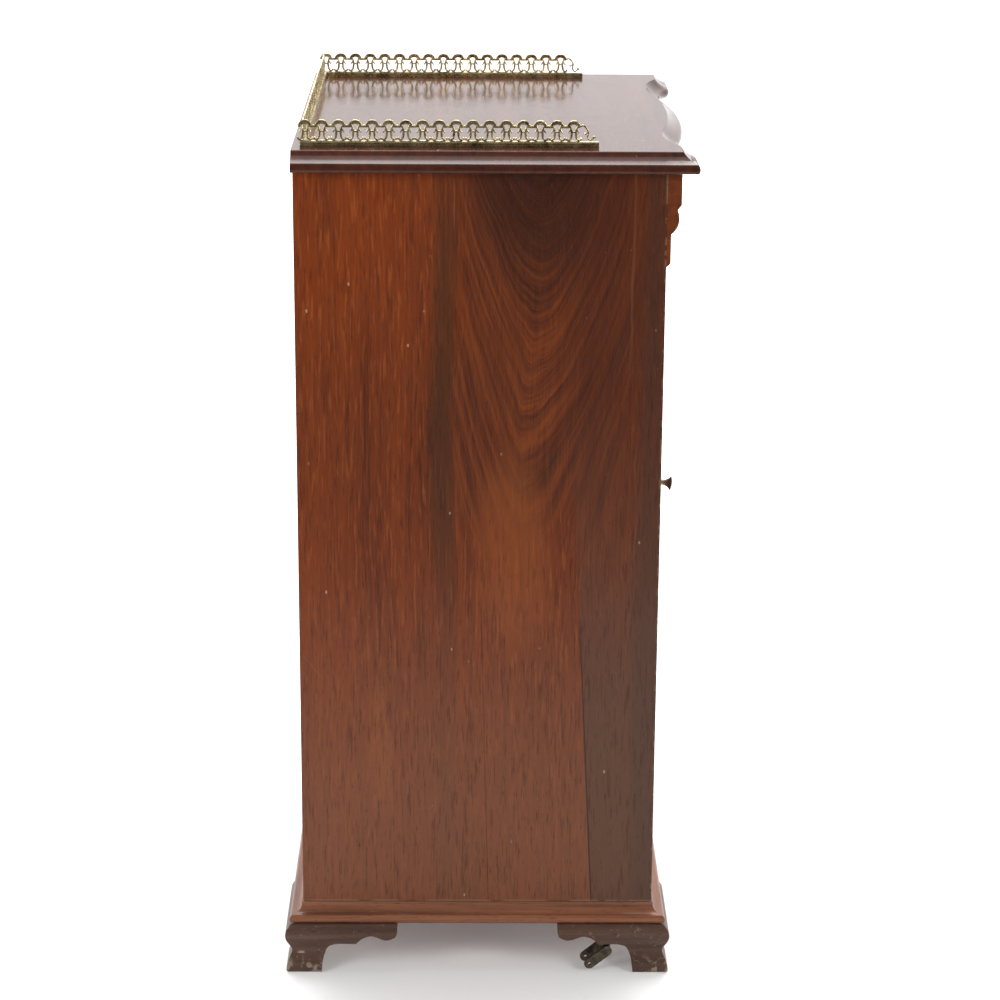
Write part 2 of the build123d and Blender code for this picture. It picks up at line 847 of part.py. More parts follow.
corners = {
    "front_left": (-1, -1),
    "front_right": (1, -1),
    "back_left": (-1, 1),
    "back_right": (1, 1),
}
block_inset = foot_stock - foot_pad
for name, (x_sign, y_sign) in corners.items():
    corner = Vector(x_sign * half_width, case_middle + y_sign * half_depth, 0)
    with BuildPart() as side_bracket:
        add(foot_bracket(corner, RIGHT * x_sign, BACKWARD * -y_sign))
    keep(side_bracket, f"foot_{name}_side")
    with BuildPart() as end_bracket:
        add(foot_bracket(corner, BACKWARD * y_sign, RIGHT * -x_sign))
    keep(end_bracket, f"foot_{name}_end")

with BuildPart() as foot_blocks:
    block_x = half_width - block_inset - foot_block_size / 2
    block_y = half_depth - block_inset - foot_block_size / 2
    with BuildSketch(Plane.XY.offset(foot_shelf_height)):
        for x_sign, y_sign in corners.values():
            with Locations((x_sign * block_x, case_middle + y_sign * block_y)):
                Rectangle(foot_block_size, foot_block_size)
    extrude(amount=foot_height - foot_shelf_height)
keep(foot_blocks, "foot_blocks")

# Caster sockets, one in each foot
corner_names = ["front_left", "back_left", "front_right", "back_right"]
for name, place in zip(corner_names, caster_places):
    with BuildPart(Plane(place)) as socket:
        Cylinder(socket_radius, socket_length, align=LOW)
        with Locations((0, 0, -socket_flange)):
            Cylinder(socket_flange_radius, socket_flange, align=LOW)
            Cylinder(
                stem_radius + stem_clearance,
                socket_length + socket_flange,
                align=LOW,
                mode=Mode.SUBTRACT,
            )
    keep(socket, f"caster_socket_{name}")

# Caster horns of the front feet, whose wheels are gone, turned a little off straight
crown_top = foot_shelf_height - horn_crown_drop
cheek_top = crown_top - horn_end_radius
cheek_x = horn_gap / 2 + horn_cheek
for side, name in ((-1, "caster_horn_front_left"), (1, "caster_horn_front_right")):
    place = Vector(side * caster_x, case_middle - caster_y, 0)
    turn = radians(-side * horn_turn)
    axle = Vector(cos(turn), sin(turn), 0)
    trail = Vector(-sin(turn), cos(turn), 0)
    with BuildPart() as horn:
        with BuildSketch(Plane(origin=place - axle * cheek_x, x_dir=trail, z_dir=axle)):
            with BuildLine():
                Line((0, cheek_top), (horn_trail, horn_axle_height))
            trace(line_width=2 * horn_end_radius)
            with Locations((0, cheek_top), (horn_trail, horn_axle_height)):
                Circle(horn_end_radius)
        extrude(amount=2 * cheek_x, dir=axle)
        with BuildSketch(Plane(origin=place - axle * (horn_gap / 2), x_dir=trail, z_dir=axle)):
            with Locations((0, crown_top - horn_crown)):
                Rectangle(
                    2 * (horn_trail + horn_end_radius),
                    2 * foot_shelf_height,
                    align=(Align.CENTER, Align.MAX),
                )
        extrude(amount=horn_gap, dir=axle, mode=Mode.SUBTRACT)
        with BuildSketch(Plane(origin=place - axle * cheek_x, x_dir=trail, z_dir=axle)):
            with Locations((horn_trail, horn_axle_height)):
                Circle(axle_radius)
        extrude(amount=2 * cheek_x, dir=axle, mode=Mode.SUBTRACT)
        with BuildSketch(Plane.XY.offset(crown_top - horn_crown)):
            with Locations((place.X, place.Y)):
                Circle(socket_flange_radius)
        extrude(amount=foot_shelf_height - socket_flange - seat_gap - crown_top + horn_crown)
        with BuildSketch(Plane.XY.offset(crown_top)):
            with Locations((place.X, place.Y)):
                Circle(stem_radius)
        extrude(amount=socket_top - seat_gap - crown_top)
    keep(horn, name)

# Door frame: stiles grooved for the panel and mortised for the rails
top_tenon = (opening_top + groove_depth, door_top - groove_depth)
bottom_tenon = (door_bottom + groove_depth, opening_bottom - groove_depth)
for side, name in ((-1, "door_stile_left"), (1, "door_stile_right")):
    outer = door_left if side < 0 else door_right
    inner = outer - side * stile_width
    with BuildPart() as stile:
        block((min(outer, inner), front, door_bottom), (max(outer, inner), door_back, door_top))
        cuts = [(groove_depth, opening_bottom - groove_depth, opening_top + groove_depth)]
        cuts += [(tenon_length, *top_tenon), (tenon_length, *bottom_tenon)]
        for depth, low, high in cuts:
            ends = sorted((inner, inner + side * depth))
            block((ends[0], groove_y, low), (ends[1], groove_back, high), Mode.SUBTRACT)
        if side < 0:
            with BuildSketch(Plane((knob_x, front, knob_height), z_dir=BACKWARD)):
                Circle(knob_screw_radius + screw_play)
            extrude(amount=door_thickness, mode=Mode.SUBTRACT)
            with BuildSketch(Plane.YZ.offset(door_left)):
                with Locations((catch_y, catch_z)):
                    Circle(cup_radius + screw_play)
            extrude(amount=cup_length, mode=Mode.SUBTRACT)
        else:
            with BuildSketch(Plane.YZ.offset(door_right)):
                with Locations(*[(front + hinge_leaf_width / 2, z) for z in hinge_levels]):
                    Rectangle(hinge_leaf_width, hinge_height)
            extrude(amount=-hinge_leaf, mode=Mode.SUBTRACT)
            drill(door_hinge_screws)
    keep(stile, name)

rail_places = {
    "door_rail_top": (opening_top, door_top, top_tenon, opening_top),
    "door_rail_bottom": (door_bottom, opening_bottom, bottom_tenon, opening_bottom - groove_depth),
}
for name, (low, high, tenon, groove_low) in rail_places.items():
    with BuildPart() as door_rail:
        block((opening_left, front, low), (opening_right, door_back, high))
        block(
            (opening_left - tenon_length, groove_y, tenon[0]),
            (opening_right + tenon_length, groove_back, tenon[1]),
        )
        block(
            (opening_left, groove_y, groove_low),
            (opening_right, groove_back, groove_low + groove_depth),
            Mode.SUBTRACT,
        )
    keep(door_rail, name)

# Door panel, raised and fielded, loose in its grooves
tongue_reach = groove_depth - panel_play
panel_face = groove_y + seat_gap
with BuildPart() as door_panel:
    panel_plane = Plane((opening_x, panel_face, opening_z), x_dir=RIGHT, z_dir=-BACKWARD)
    with BuildSketch(panel_plane):
        Rectangle(opening_width + 2 * tongue_reach, opening_height + 2 * tongue_reach)
    extrude(amount=-groove_width + 2 * seat_gap)
    with BuildSketch(panel_plane):
        Rectangle(opening_width - 2 * panel_margin, opening_height - 2 * panel_margin)
    with BuildSketch(panel_plane.offset(panel_field_rise)):
        field_margin = panel_margin + panel_bevel
        Rectangle(opening_width - 2 * field_margin, opening_height - 2 * field_margin)
    loft()
keep(door_panel, "door_panel")

# Bead round the panel, four mitred sticks with a rounded inner arris
def door_bead(reach, length, turn):
    """A bead stick that lies a reach below the middle of the opening, turned about it."""
    half = length / 2 - mitre_gap
    with BuildPart() as stick:
        with BuildSketch(Plane((0, 0, -reach), x_dir=RIGHT, z_dir=-BACKWARD)):
            Polygon(
                (-half, 0),
                (half, 0),
                (half - bead_width, bead_width),
                (bead_width - half, bead_width),
                align=None,
            )
        extrude(amount=groove_front - bead_setback)
        inner_edges = stick.faces().sort_by(Axis.Y)[0].edges().filter_by(Axis.X)
        fillet(inner_edges.sort_by(Axis.Z)[-1], bead_rounding)
    return stick.part.rotate(Axis.Y, turn)


with BuildPart() as door_beads:
    with Locations((opening_x, groove_y, opening_z)):
        for turn in (0, 180):
            add(door_bead(opening_height / 2, opening_width, turn))
            add(door_bead(opening_width / 2, opening_height, turn + 90))
keep(door_beads, "door_beads")

# Knob, turned like a small trumpet and hanging a little on its screw
knob_axis = Vector(0, -cos(radians(knob_droop)), -sin(radians(knob_droop)))
knob_seat = Vector(knob_x, front, knob_height)
with BuildPart() as knob:
    with BuildSketch(Plane(knob_seat, x_dir=RIGHT, z_dir=RIGHT.cross(knob_axis))):
        with BuildLine():
            Polyline((0, -cut_over), (knob_neck_radius, -cut_over), (knob_neck_radius, knob_collar))
            ThreePointArc(
                (knob_neck_radius, knob_collar),
                (knob_waist_radius, knob_waist),
                (knob_neck_radius, knob_throat),
            )
            ThreePointArc(
                (knob_neck_radius, knob_throat),
                (knob_bell_radius, knob_bell),
                (knob_flare_radius, knob_rim),
            )
            Line((knob_flare_radius, knob_rim), (knob_flare_radius, knob_rim + knob_rim_width))
            Polyline(
                (knob_flare_radius, knob_rim + knob_rim_width),
                (knob_boss_radius, knob_length),
                (0, knob_length),
                (0, -cut_over),
            )
        make_face()
    revolve(axis=Axis(knob_seat, knob_axis))
    split(bisect_by=Plane(knob_seat, z_dir=BACKWARD), keep=Keep.BOTTOM)
    with BuildSketch(Plane(knob_seat, z_dir=BACKWARD)):
        Circle(knob_screw_radius + screw_play)
    extrude(amount=-knob_screw_grip, mode=Mode.SUBTRACT)
keep(knob, "knob")

with BuildPart(Plane((knob_x, door_back, knob_height), z_dir=-BACKWARD)) as knob_screw:
    Cylinder(knob_screw_radius, door_thickness + knob_screw_grip - seat_gap, align=LOW)
    with Locations((0, 0, -knob_screw_head_radius / 2)):
        Cylinder(knob_screw_head_radius, knob_screw_head_radius / 2, align=LOW)
        Box(
            2 * knob_screw_head_radius,
            knob_screw_head_radius / 4,
            knob_screw_head_radius / 5,
            align=LOW,
            mode=Mode.SUBTRACT,
        )
keep(knob_screw, "knob_screw")


# Butt hinges: two leaves with interlocking knuckles on a loose pin
def hinge_leaf_part(level, side, knuckles, screws):
    """One leaf of a butt hinge, on the side of the axis that it is screwed to."""
    near = hinge_x + side * hinge_gap / 2
    ends = sorted((near, near + side * hinge_leaf))
    low = level - hinge_height / 2
    high = level + hinge_height / 2
    with BuildPart() as leaf:
        block((ends[0], front, low), (ends[1], front + hinge_leaf_width, high))
        for n in knuckles:
            foot = low + n * knuckle_height + knuckle_gap / 2
            tall = knuckle_height - knuckle_gap
            block((ends[0], hinge_y, foot), (ends[1], front, foot + tall))
            with Locations((hinge_x, hinge_y, foot)):
                Cylinder(barrel_radius, tall, align=LOW)
        with Locations((hinge_x, hinge_y, low)):
            Cylinder(
                hinge_pin_radius + hinge_pin_clearance,
                hinge_height,
                align=LOW,
                mode=Mode.SUBTRACT,
            )
        drill(screws)
    return leaf.part


for place, level in zip(("lower", "upper"), hinge_levels):
    with BuildPart() as case_leaf:
        add(hinge_leaf_part(level, 1, range(0, knuckle_count, 2), case_hinge_screws))
    keep(case_leaf, f"hinge_{place}_case_leaf")
    with BuildPart() as door_leaf:
        add(hinge_leaf_part(level, -1, range(1, knuckle_count, 2), door_hinge_screws))
    keep(door_leaf, f"hinge_{place}_door_leaf")

pin_head_radius = barrel_radius * 0.8
pin_head = hinge_pin_radius
with BuildPart() as hinge_pins:
    for level in hinge_levels:
        with Locations((hinge_x, hinge_y, level - hinge_height / 2)):
            Cylinder(hinge_pin_radius, hinge_height, align=LOW)
        with Locations(
            (hinge_x, hinge_y, level - hinge_height / 2 - pin_head),
            (hinge_x, hinge_y, level + hinge_height / 2),
        ):
            Cylinder(pin_head_radius, pin_head, align=LOW)
keep(hinge_pins, "hinge_pins")

# Ball catch in the edge of the left stile, and its strike in the left side
catch_plane = Plane((door_left, catch_y, catch_z), z_dir=RIGHT)
with BuildPart(catch_plane) as catch_cup:
    Cylinder(cup_radius, cup_length, align=LOW)
    Cylinder(cup_lip_radius, cup_lip, align=LOW, mode=Mode.SUBTRACT)
    with Locations((0, 0, cup_lip)):
        Cylinder(
            ball_radius + ball_clearance,
            cup_length - cup_lip - cup_floor,
            align=LOW,
            mode=Mode.SUBTRACT,
        )
keep(catch_cup, "catch_cup")

with BuildPart(catch_plane.offset(ball_depth)) as catch_ball:
    Sphere(ball_radius)
keep(catch_ball, "catch_ball")

spring_inner = spring_radius - spring_wall
spring_start = ball_depth + sqrt(ball_radius**2 - spring_inner**2) + ball_clearance
with BuildPart(catch_plane.offset(spring_start)) as catch_spring:
    Cylinder(spring_radius, cup_length - cup_floor - spring_start, align=LOW)
    Cylinder(
        spring_inner, cup_length - cup_floor - spring_start, align=LOW, mode=Mode.SUBTRACT
    )
keep(catch_spring, "catch_spring")

with BuildPart() as catch_strike:
    with BuildSketch(Plane.YZ.offset(-inner_x)):
        with Locations((catch_y, catch_z)):
            Rectangle(strike_width, strike_height)
            Circle(strike_hole_radius, mode=Mode.SUBTRACT)
    extrude(amount=-strike_thickness)
    drill(strike_screws)
keep(catch_strike, "catch_strike")

# Screws, kept as groups of separate solids
screw_groups = {
    "case_screws": back_screws + edge_screws + top_screws + base_screws,
    "side_brass_screws": case_hinge_screws + strike_screws,
    "door_brass_screws": door_hinge_screws,
}
for name, places in screw_groups.items():
    with BuildPart() as screws:
        for place in places:
            add(screw(*place))
    keep(screws, name)
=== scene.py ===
"""The looks of a music roll cabinet: old polished mahogany with a pierced brass gallery."""

import json
import math

import bpy
from mathutils import Matrix, Vector


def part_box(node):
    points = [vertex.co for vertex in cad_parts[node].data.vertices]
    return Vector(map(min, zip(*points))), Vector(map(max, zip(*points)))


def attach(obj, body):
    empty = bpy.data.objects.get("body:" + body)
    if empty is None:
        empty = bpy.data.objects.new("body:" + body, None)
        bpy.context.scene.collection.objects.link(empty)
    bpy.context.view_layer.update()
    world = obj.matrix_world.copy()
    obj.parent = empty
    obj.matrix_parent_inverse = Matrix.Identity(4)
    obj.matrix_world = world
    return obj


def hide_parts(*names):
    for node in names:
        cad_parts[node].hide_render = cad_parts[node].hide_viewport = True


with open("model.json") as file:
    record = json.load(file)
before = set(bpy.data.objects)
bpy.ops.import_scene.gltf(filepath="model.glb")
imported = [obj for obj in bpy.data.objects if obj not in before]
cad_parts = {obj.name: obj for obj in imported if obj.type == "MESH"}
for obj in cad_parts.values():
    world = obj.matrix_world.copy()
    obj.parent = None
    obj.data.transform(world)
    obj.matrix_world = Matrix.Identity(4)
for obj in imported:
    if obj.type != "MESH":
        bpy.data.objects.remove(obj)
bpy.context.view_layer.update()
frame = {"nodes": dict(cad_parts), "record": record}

MM = 0.001
DEGREE = math.pi / 180


# Shader maths: numbers that change over a surface are worked with as Python expressions
class Number:
    """A socket that carries a number, so that an expression on it adds Math nodes."""

    def __init__(self, nodes, socket):
        self.nodes = nodes
        self.socket = socket

    def math(self, operation, *values):
        inputs = dict(enumerate(values))
        return self.nodes.number("ShaderNodeMath", {"operation": operation}, inputs)

    def __add__(self, other):
        return self.math("ADD", self, other)

    def __sub__(self, other):
        return self.math("SUBTRACT", self, other)

    def __rsub__(self, other):
        return self.math("SUBTRACT", other, self)

    def __mul__(self, other):
        return self.math("MULTIPLY", self, other)

    def __truediv__(self, other):
        return self.math("DIVIDE", self, other)

    __radd__ = __add__
    __rmul__ = __mul__

    def size(self):
        return self.math("ABSOLUTE", self)

    def larger(self, other):
        return self.math("MAXIMUM", self, other)


class Nodes:
    """A tree of nodes, each of which comes from one method."""

    def __init__(self, tree):
        self.tree = tree
        tree.nodes.clear()

    def node(self, kind, settings=None, inputs=None):
        """Adds a node of a kind, with its settings first and then what goes into its sockets."""
        node = self.tree.nodes.new(kind)
        for key, value in (settings or {}).items():
            if key == "stops":
                self.set_stops(node.color_ramp, value)
            else:
                setattr(node, key, value)
        for key, value in (inputs or {}).items():
            self.put(node.inputs[key], value)
        return node

    def set_stops(self, ramp, stops):
        for place, _ in stops[2:]:
            ramp.elements.new(place)
        for element, (place, colour) in zip(ramp.elements, stops):
            element.position = place
            element.color = (*colour, 1)

    def put(self, socket, value):
        """Links a socket to what comes from another node, or sets its value."""
        if isinstance(value, Number):
            value = value.socket
        if isinstance(value, bpy.types.NodeSocket):
            self.tree.links.new(value, socket)
        elif socket.type == "RGBA":
            socket.default_value = (*value, 1)
        else:
            socket.default_value = value

    def number(self, kind, settings=None, inputs=None):
        return Number(self, self.node(kind, settings, inputs).outputs[0])

    def parts(self, vector):
        """The three numbers of a vector."""
        split = self.node("ShaderNodeSeparateXYZ", inputs={0: vector})
        return [Number(self, socket) for socket in split.outputs]

    def step(self, value, low, high, foot=0.0, head=1.0):
        """A smooth step from foot, where the value is low, to head, where it is high."""
        settings = {"interpolation_type": "SMOOTHSTEP"}
        inputs = {"Value": value, "From Min": low, "From Max": high, "To Min": foot, "To Max": head}
        return self.number("ShaderNodeMapRange", settings, inputs)


class Finish(Nodes):
    """A material for one surface finish, with the nodes that make it."""

    def __init__(self, name, **constants):
        self.material = bpy.data.materials.new(name)
        self.material.use_nodes = True
        super().__init__(self.material.node_tree)
        self.shader = self.node("ShaderNodeBsdfPrincipled", inputs=constants)
        self.node("ShaderNodeOutputMaterial", inputs={0: self.shader.outputs[0]})

    def surface(self, **varying):
        """Sends varying colours, roughness and the like into the shader."""
        for key, value in varying.items():
            self.put(self.shader.inputs[key.replace("_", " ")], value)
        return self.material

    def place(self):
        """The point's place in the cabinet's frame, in metres."""
        return self.node("ShaderNodeTexCoord").outputs["Object"]

    def joined(self, x, y, z):
        return self.node("ShaderNodeCombineXYZ", inputs={0: x, 1: y, 2: z}).outputs[0]

    def stretched(self, vector, factors, move=(0, 0, 0)):
        settings = {"operation": "MULTIPLY_ADD"}
        inputs = {0: vector, 1: factors, 2: move}
        return self.node("ShaderNodeVectorMath", settings, inputs).outputs[0]

    def noise(self, vector, scale, detail=2, rough=0.5, warp=0.0):
        inputs = {"Vector": vector, "Scale": scale, "Detail": detail}
        inputs |= {"Roughness": rough, "Distortion": warp}
        return self.number("ShaderNodeTexNoise", inputs=inputs)

    def cells(self, vector, scale, feature="F1"):
        inputs = {"Vector": vector, "Scale": scale}
        return self.number("ShaderNodeTexVoronoi", {"feature": feature}, inputs)

    def rise(self, value, low, high):
        """A smooth step from 0 at low to 1 at high; low may be the larger of the two."""
        if low > high:
            return 1 - self.step(value, high, low)
        return self.step(value, low, high)

    def ramp(self, value, *stops):
        return self.node("ShaderNodeValToRGB", {"stops": stops}, {0: value}).outputs[0]

    def mix(self, factor, first, second, blend="MIX"):
        settings = {"data_type": "RGBA", "blend_type": blend}
        inputs = {0: factor, 6: first, 7: second}
        return self.node("ShaderNodeMix", settings, inputs).outputs[2]

    def layers(self, colour, *coats):
        """Lays coats of (mask, colour) over a colour, one after another."""
        for mask, tint in coats:
            colour = self.mix(mask, colour, tint)
        return colour

    def bump(self, height, depth):
        inputs = {"Height": height, "Distance": depth}
        return self.node("ShaderNodeBump", inputs=inputs).outputs[0]

    def spot(self, across, up, place, reach):
        """1 at a place on a panel, falling to 0 at its reach across and up."""
        dx = (across - place[0]) / reach[0]
        dz = (up - place[1]) / reach[1]
        return self.rise(dx * dx + dz * dz, 1.0, 0.0)


GRAIN_STRETCH = {"x": (0.03, 1, 1), "y": (1, 0.03, 1), "z": (1, 1, 0.03)}
SHORT_STRETCH = {"x": (0.09, 1, 1), "y": (1, 0.09, 1), "z": (1, 1, 0.09)}
SCRATCH = (0.36, 0.27, 0.22)
SCUFF = (0.34, 0.27, 0.2)
PORE_SHARE = 0.25


def grain(finish, place, axis):
    """Streaks, short figure lines and open pores along a board's length, each from 0 to 1."""
    long_place = finish.stretched(place, GRAIN_STRETCH[axis])
    short_place = finish.stretched(place, SHORT_STRETCH[axis])
    streaks = finish.noise(long_place, 95, detail=7, rough=0.62, warp=0.6)
    lines = finish.noise(long_place, 520, detail=4, rough=0.6)
    pores = finish.rise(finish.noise(short_place, 1150, detail=2), 0.62, 0.7)
    return streaks, lines, pores


def scuffs(finish, place, share):
    """Rubbed patches low down on a foot's pad, and pale strokes all over the foot."""
    height = finish.parts(place)[2]
    rubbed = finish.rise(finish.noise(place, 70, detail=6, warp=1.5), 0.47, 0.58)
    low_down = finish.rise(height, 0.022, 0.004)
    strokes = finish.rise(finish.noise(place, 150, detail=3, warp=2.0), 0.63, 0.7)
    return rubbed * low_down * share + strokes * 0.3


def mahogany(name, axis, pale, middle, dark, rough=0.3, coat=0.12, gloss=0.3, worn=0.3, relief=1.0,
             scuffed=0.0):
    """Old polished mahogany with the grain along an axis."""
    constants = {"Specular IOR Level": gloss, "Coat Weight": coat, "Coat Roughness": 0.12}
    finish = Finish(name, **constants)
    place = finish.place()
    streaks, lines, pores = grain(finish, place, axis)
    cloud = finish.noise(place, 9, detail=3)
    tone = streaks * 0.62 + lines * 0.23 + cloud * 0.22
    pore_colour = tuple(channel * PORE_SHARE for channel in dark)
    rubs = finish.noise(finish.stretched(place, GRAIN_STRETCH[axis], (3, 5, 7)), 240, detail=5)
    chips = finish.rise(rubs, 0.66, 0.72) * finish.rise(finish.noise(place, 45, detail=2), 0.52, 0.6)
    colour = finish.ramp(tone, (0.3, dark), (0.5, middle), (0.72, pale))
    colour = finish.layers(colour, (pores * 0.55, pore_colour), (chips * worn, SCRATCH))
    if scuffed:
        colour = finish.mix(scuffs(finish, place, scuffed), colour, SCUFF)
    smears = finish.noise(place, 24, detail=4, warp=1.2)
    return finish.surface(
        Base_Color=colour,
        Roughness=rough + smears * 0.16 - 0.08 + chips * 0.2,
        Normal=finish.bump(lines * 0.4 - pores - chips * 0.6, 0.00009 * relief),
    )


# The figure of the side panels: three boards, with nested arches of grain in the middle one
ARCH_Y = -0.043
ARCH_START = 0.42
ARCH_FOOT = 0.56
ARCH_ROUND = 0.8
ARCH_BEND = 27.0
ARCH_LEAN = 1.5
ARCH_SLOPE = 0.25
RINGS_LOW = 36.0
RINGS_GAIN = 330.0
PANEL_FACE = (0.2432, 0.2446)
FRONT_ARRIS = (-0.1768, -0.1785)
FOOT_LINE = (0.0772, 0.0762)
PALE_LINE_Y = -0.143

# Glue lines: where each meets the height given with it, and how far it leans
OPEN_JOINT = dict(y=-0.089, z=0.576, lean=0.052)
FAINT_JOINT = dict(y=0.002, z=0.36, lean=0.027)

# Colours of the side panels
BOARD_COLOURS = (0.33, (0.075, 0.018, 0.007)), (0.45, (0.17, 0.034, 0.008)), (0.62, (0.25, 0.048, 0.008))
RING_COLOURS = (0.36, (0.065, 0.017, 0.008)), (0.5, (0.15, 0.034, 0.01)), (0.66, (0.27, 0.06, 0.012))
GLINT_ORANGE = (0.4, 0.105, 0.022)
BAND_BROWN = (0.05, 0.024, 0.011)
CROWN_AND_SHADOW_BROWN = (0.032, 0.011, 0.008)
SHADE_BROWN = (0.07, 0.018, 0.01)
GLOW_ORANGE = (0.36, 0.095, 0.022)
LOW_TAN = (0.245, 0.1, 0.052)
RIM_BROWN = (0.062, 0.03, 0.02)
LINE_TAN = (0.34, 0.15, 0.07)
FRONT_BOARD_BROWN = (0.108, 0.054, 0.034)
GLUE_BLACK = (0.02, 0.011, 0.008)
PORE_BLACK = (0.02, 0.008, 0.005)
SPOT_BLACK = (0.02, 0.014, 0.011)
NICK_TAN = (0.5, 0.36, 0.24)
ARRIS_TAN = (0.42, 0.26, 0.16)
PAINTED_SHADE_GREY = (0.76, 0.76, 0.76)
PAINTED_LIGHT_WARM = (1.0, 0.96, 0.9)


def nested_arches(finish, place, across, z):
    """Where the arched figure lies, and its rings: steep low down, round and close higher up."""
    upper = finish.rise(z, ARCH_FOOT, ARCH_ROUND)
    aside = across - ARCH_Y + upper * 0.012
    left_lean = finish.rise(aside, 0.0, 0.012) * (1 - upper) * ARCH_LEAN
    wobble = finish.noise(finish.stretched(place, (1, 26, 9)), 1.0, detail=4)
    climb = z - aside * aside * ARCH_BEND - aside.size() * (left_lean + ARCH_SLOPE)
    climb = climb + (wobble - 0.5) * 0.03
    crowd = (climb - ARCH_FOOT).larger(0.0)
    phase = climb * RINGS_LOW + crowd * crowd * RINGS_GAIN
    rings = finish.noise(finish.joined(phase, across * 9, z * 3), 1.0, detail=6, rough=0.68)
    near = finish.rise(aside, -0.125, -0.075) * finish.rise(aside, 0.095, 0.06)
    return near * finish.rise(z, ARCH_START, ARCH_FOOT), rings


def broad_shades(finish, colour, across, z):
    """The dark band, the dark crown with painted shadow from the top's overhang, painted shade towards the
    front, warm patches and a paler tan low down.
    """
    band = finish.rise(across, 0.024, 0.034) * finish.rise(across, 0.058, 0.047)
    band = band * (0.35 + 0.65 * finish.spot(across, z, (0.04, 0.62), (0.08, 0.26)))
    # Painted shadow under the top's overhang, laid over the dark figure at the top centre
    crown_and_shadow = finish.spot(across, z, (-0.055, 0.85), (0.09, 0.13))
    # Painted shade on the upper part towards the front edge
    shade = finish.spot(across, z, (-0.125, 0.7), (0.06, 0.25))
    glow = finish.spot(across, z, (-0.032, 0.465), (0.05, 0.13))
    warm = finish.spot(across, z, (0.112, 0.25), (0.016, 0.1))
    low = finish.rise(z, 0.5, 0.12)
    return finish.layers(
        colour,
        (band * 0.62, BAND_BROWN),
        (crown_and_shadow * 0.72, CROWN_AND_SHADOW_BROWN),
        (shade * 0.5, SHADE_BROWN),
        (glow.larger(warm) * 0.42, GLOW_ORANGE),
        (low * 0.58, LOW_TAN),
    )


def from_joint(y, z, joint):
    """How far a point lies behind a leaning glue line."""
    return y - joint["y"] + (joint["z"] - z) * joint["lean"]


def nicks_and_spots(finish, place, z):
    """Dark spots low down, pale nicks and thin scratches, each from 0 to 1."""
    spots = finish.rise(finish.cells(place, 17), 0.055, 0.03)
    spots = spots * finish.rise(finish.noise(place, 13), 0.56, 0.62) * finish.rise(z, 0.42, 0.3)
    nicks = finish.rise(finish.cells(finish.stretched(place, (1, 1, 0.6)), 62), 0.085, 0.05)
    nicks = nicks * finish.rise(finish.noise(place, 21, detail=3), 0.52, 0.6)
    cracks = finish.cells(finish.stretched(place, (1, 1, 0.5), (2, 3, 1)), 7.5, "DISTANCE_TO_EDGE")
    thin = finish.rise(cracks, 0.0022, 0.0006)
    return spots, nicks, thin * finish.rise(finish.noise(place, 8, detail=3), 0.58, 0.68)


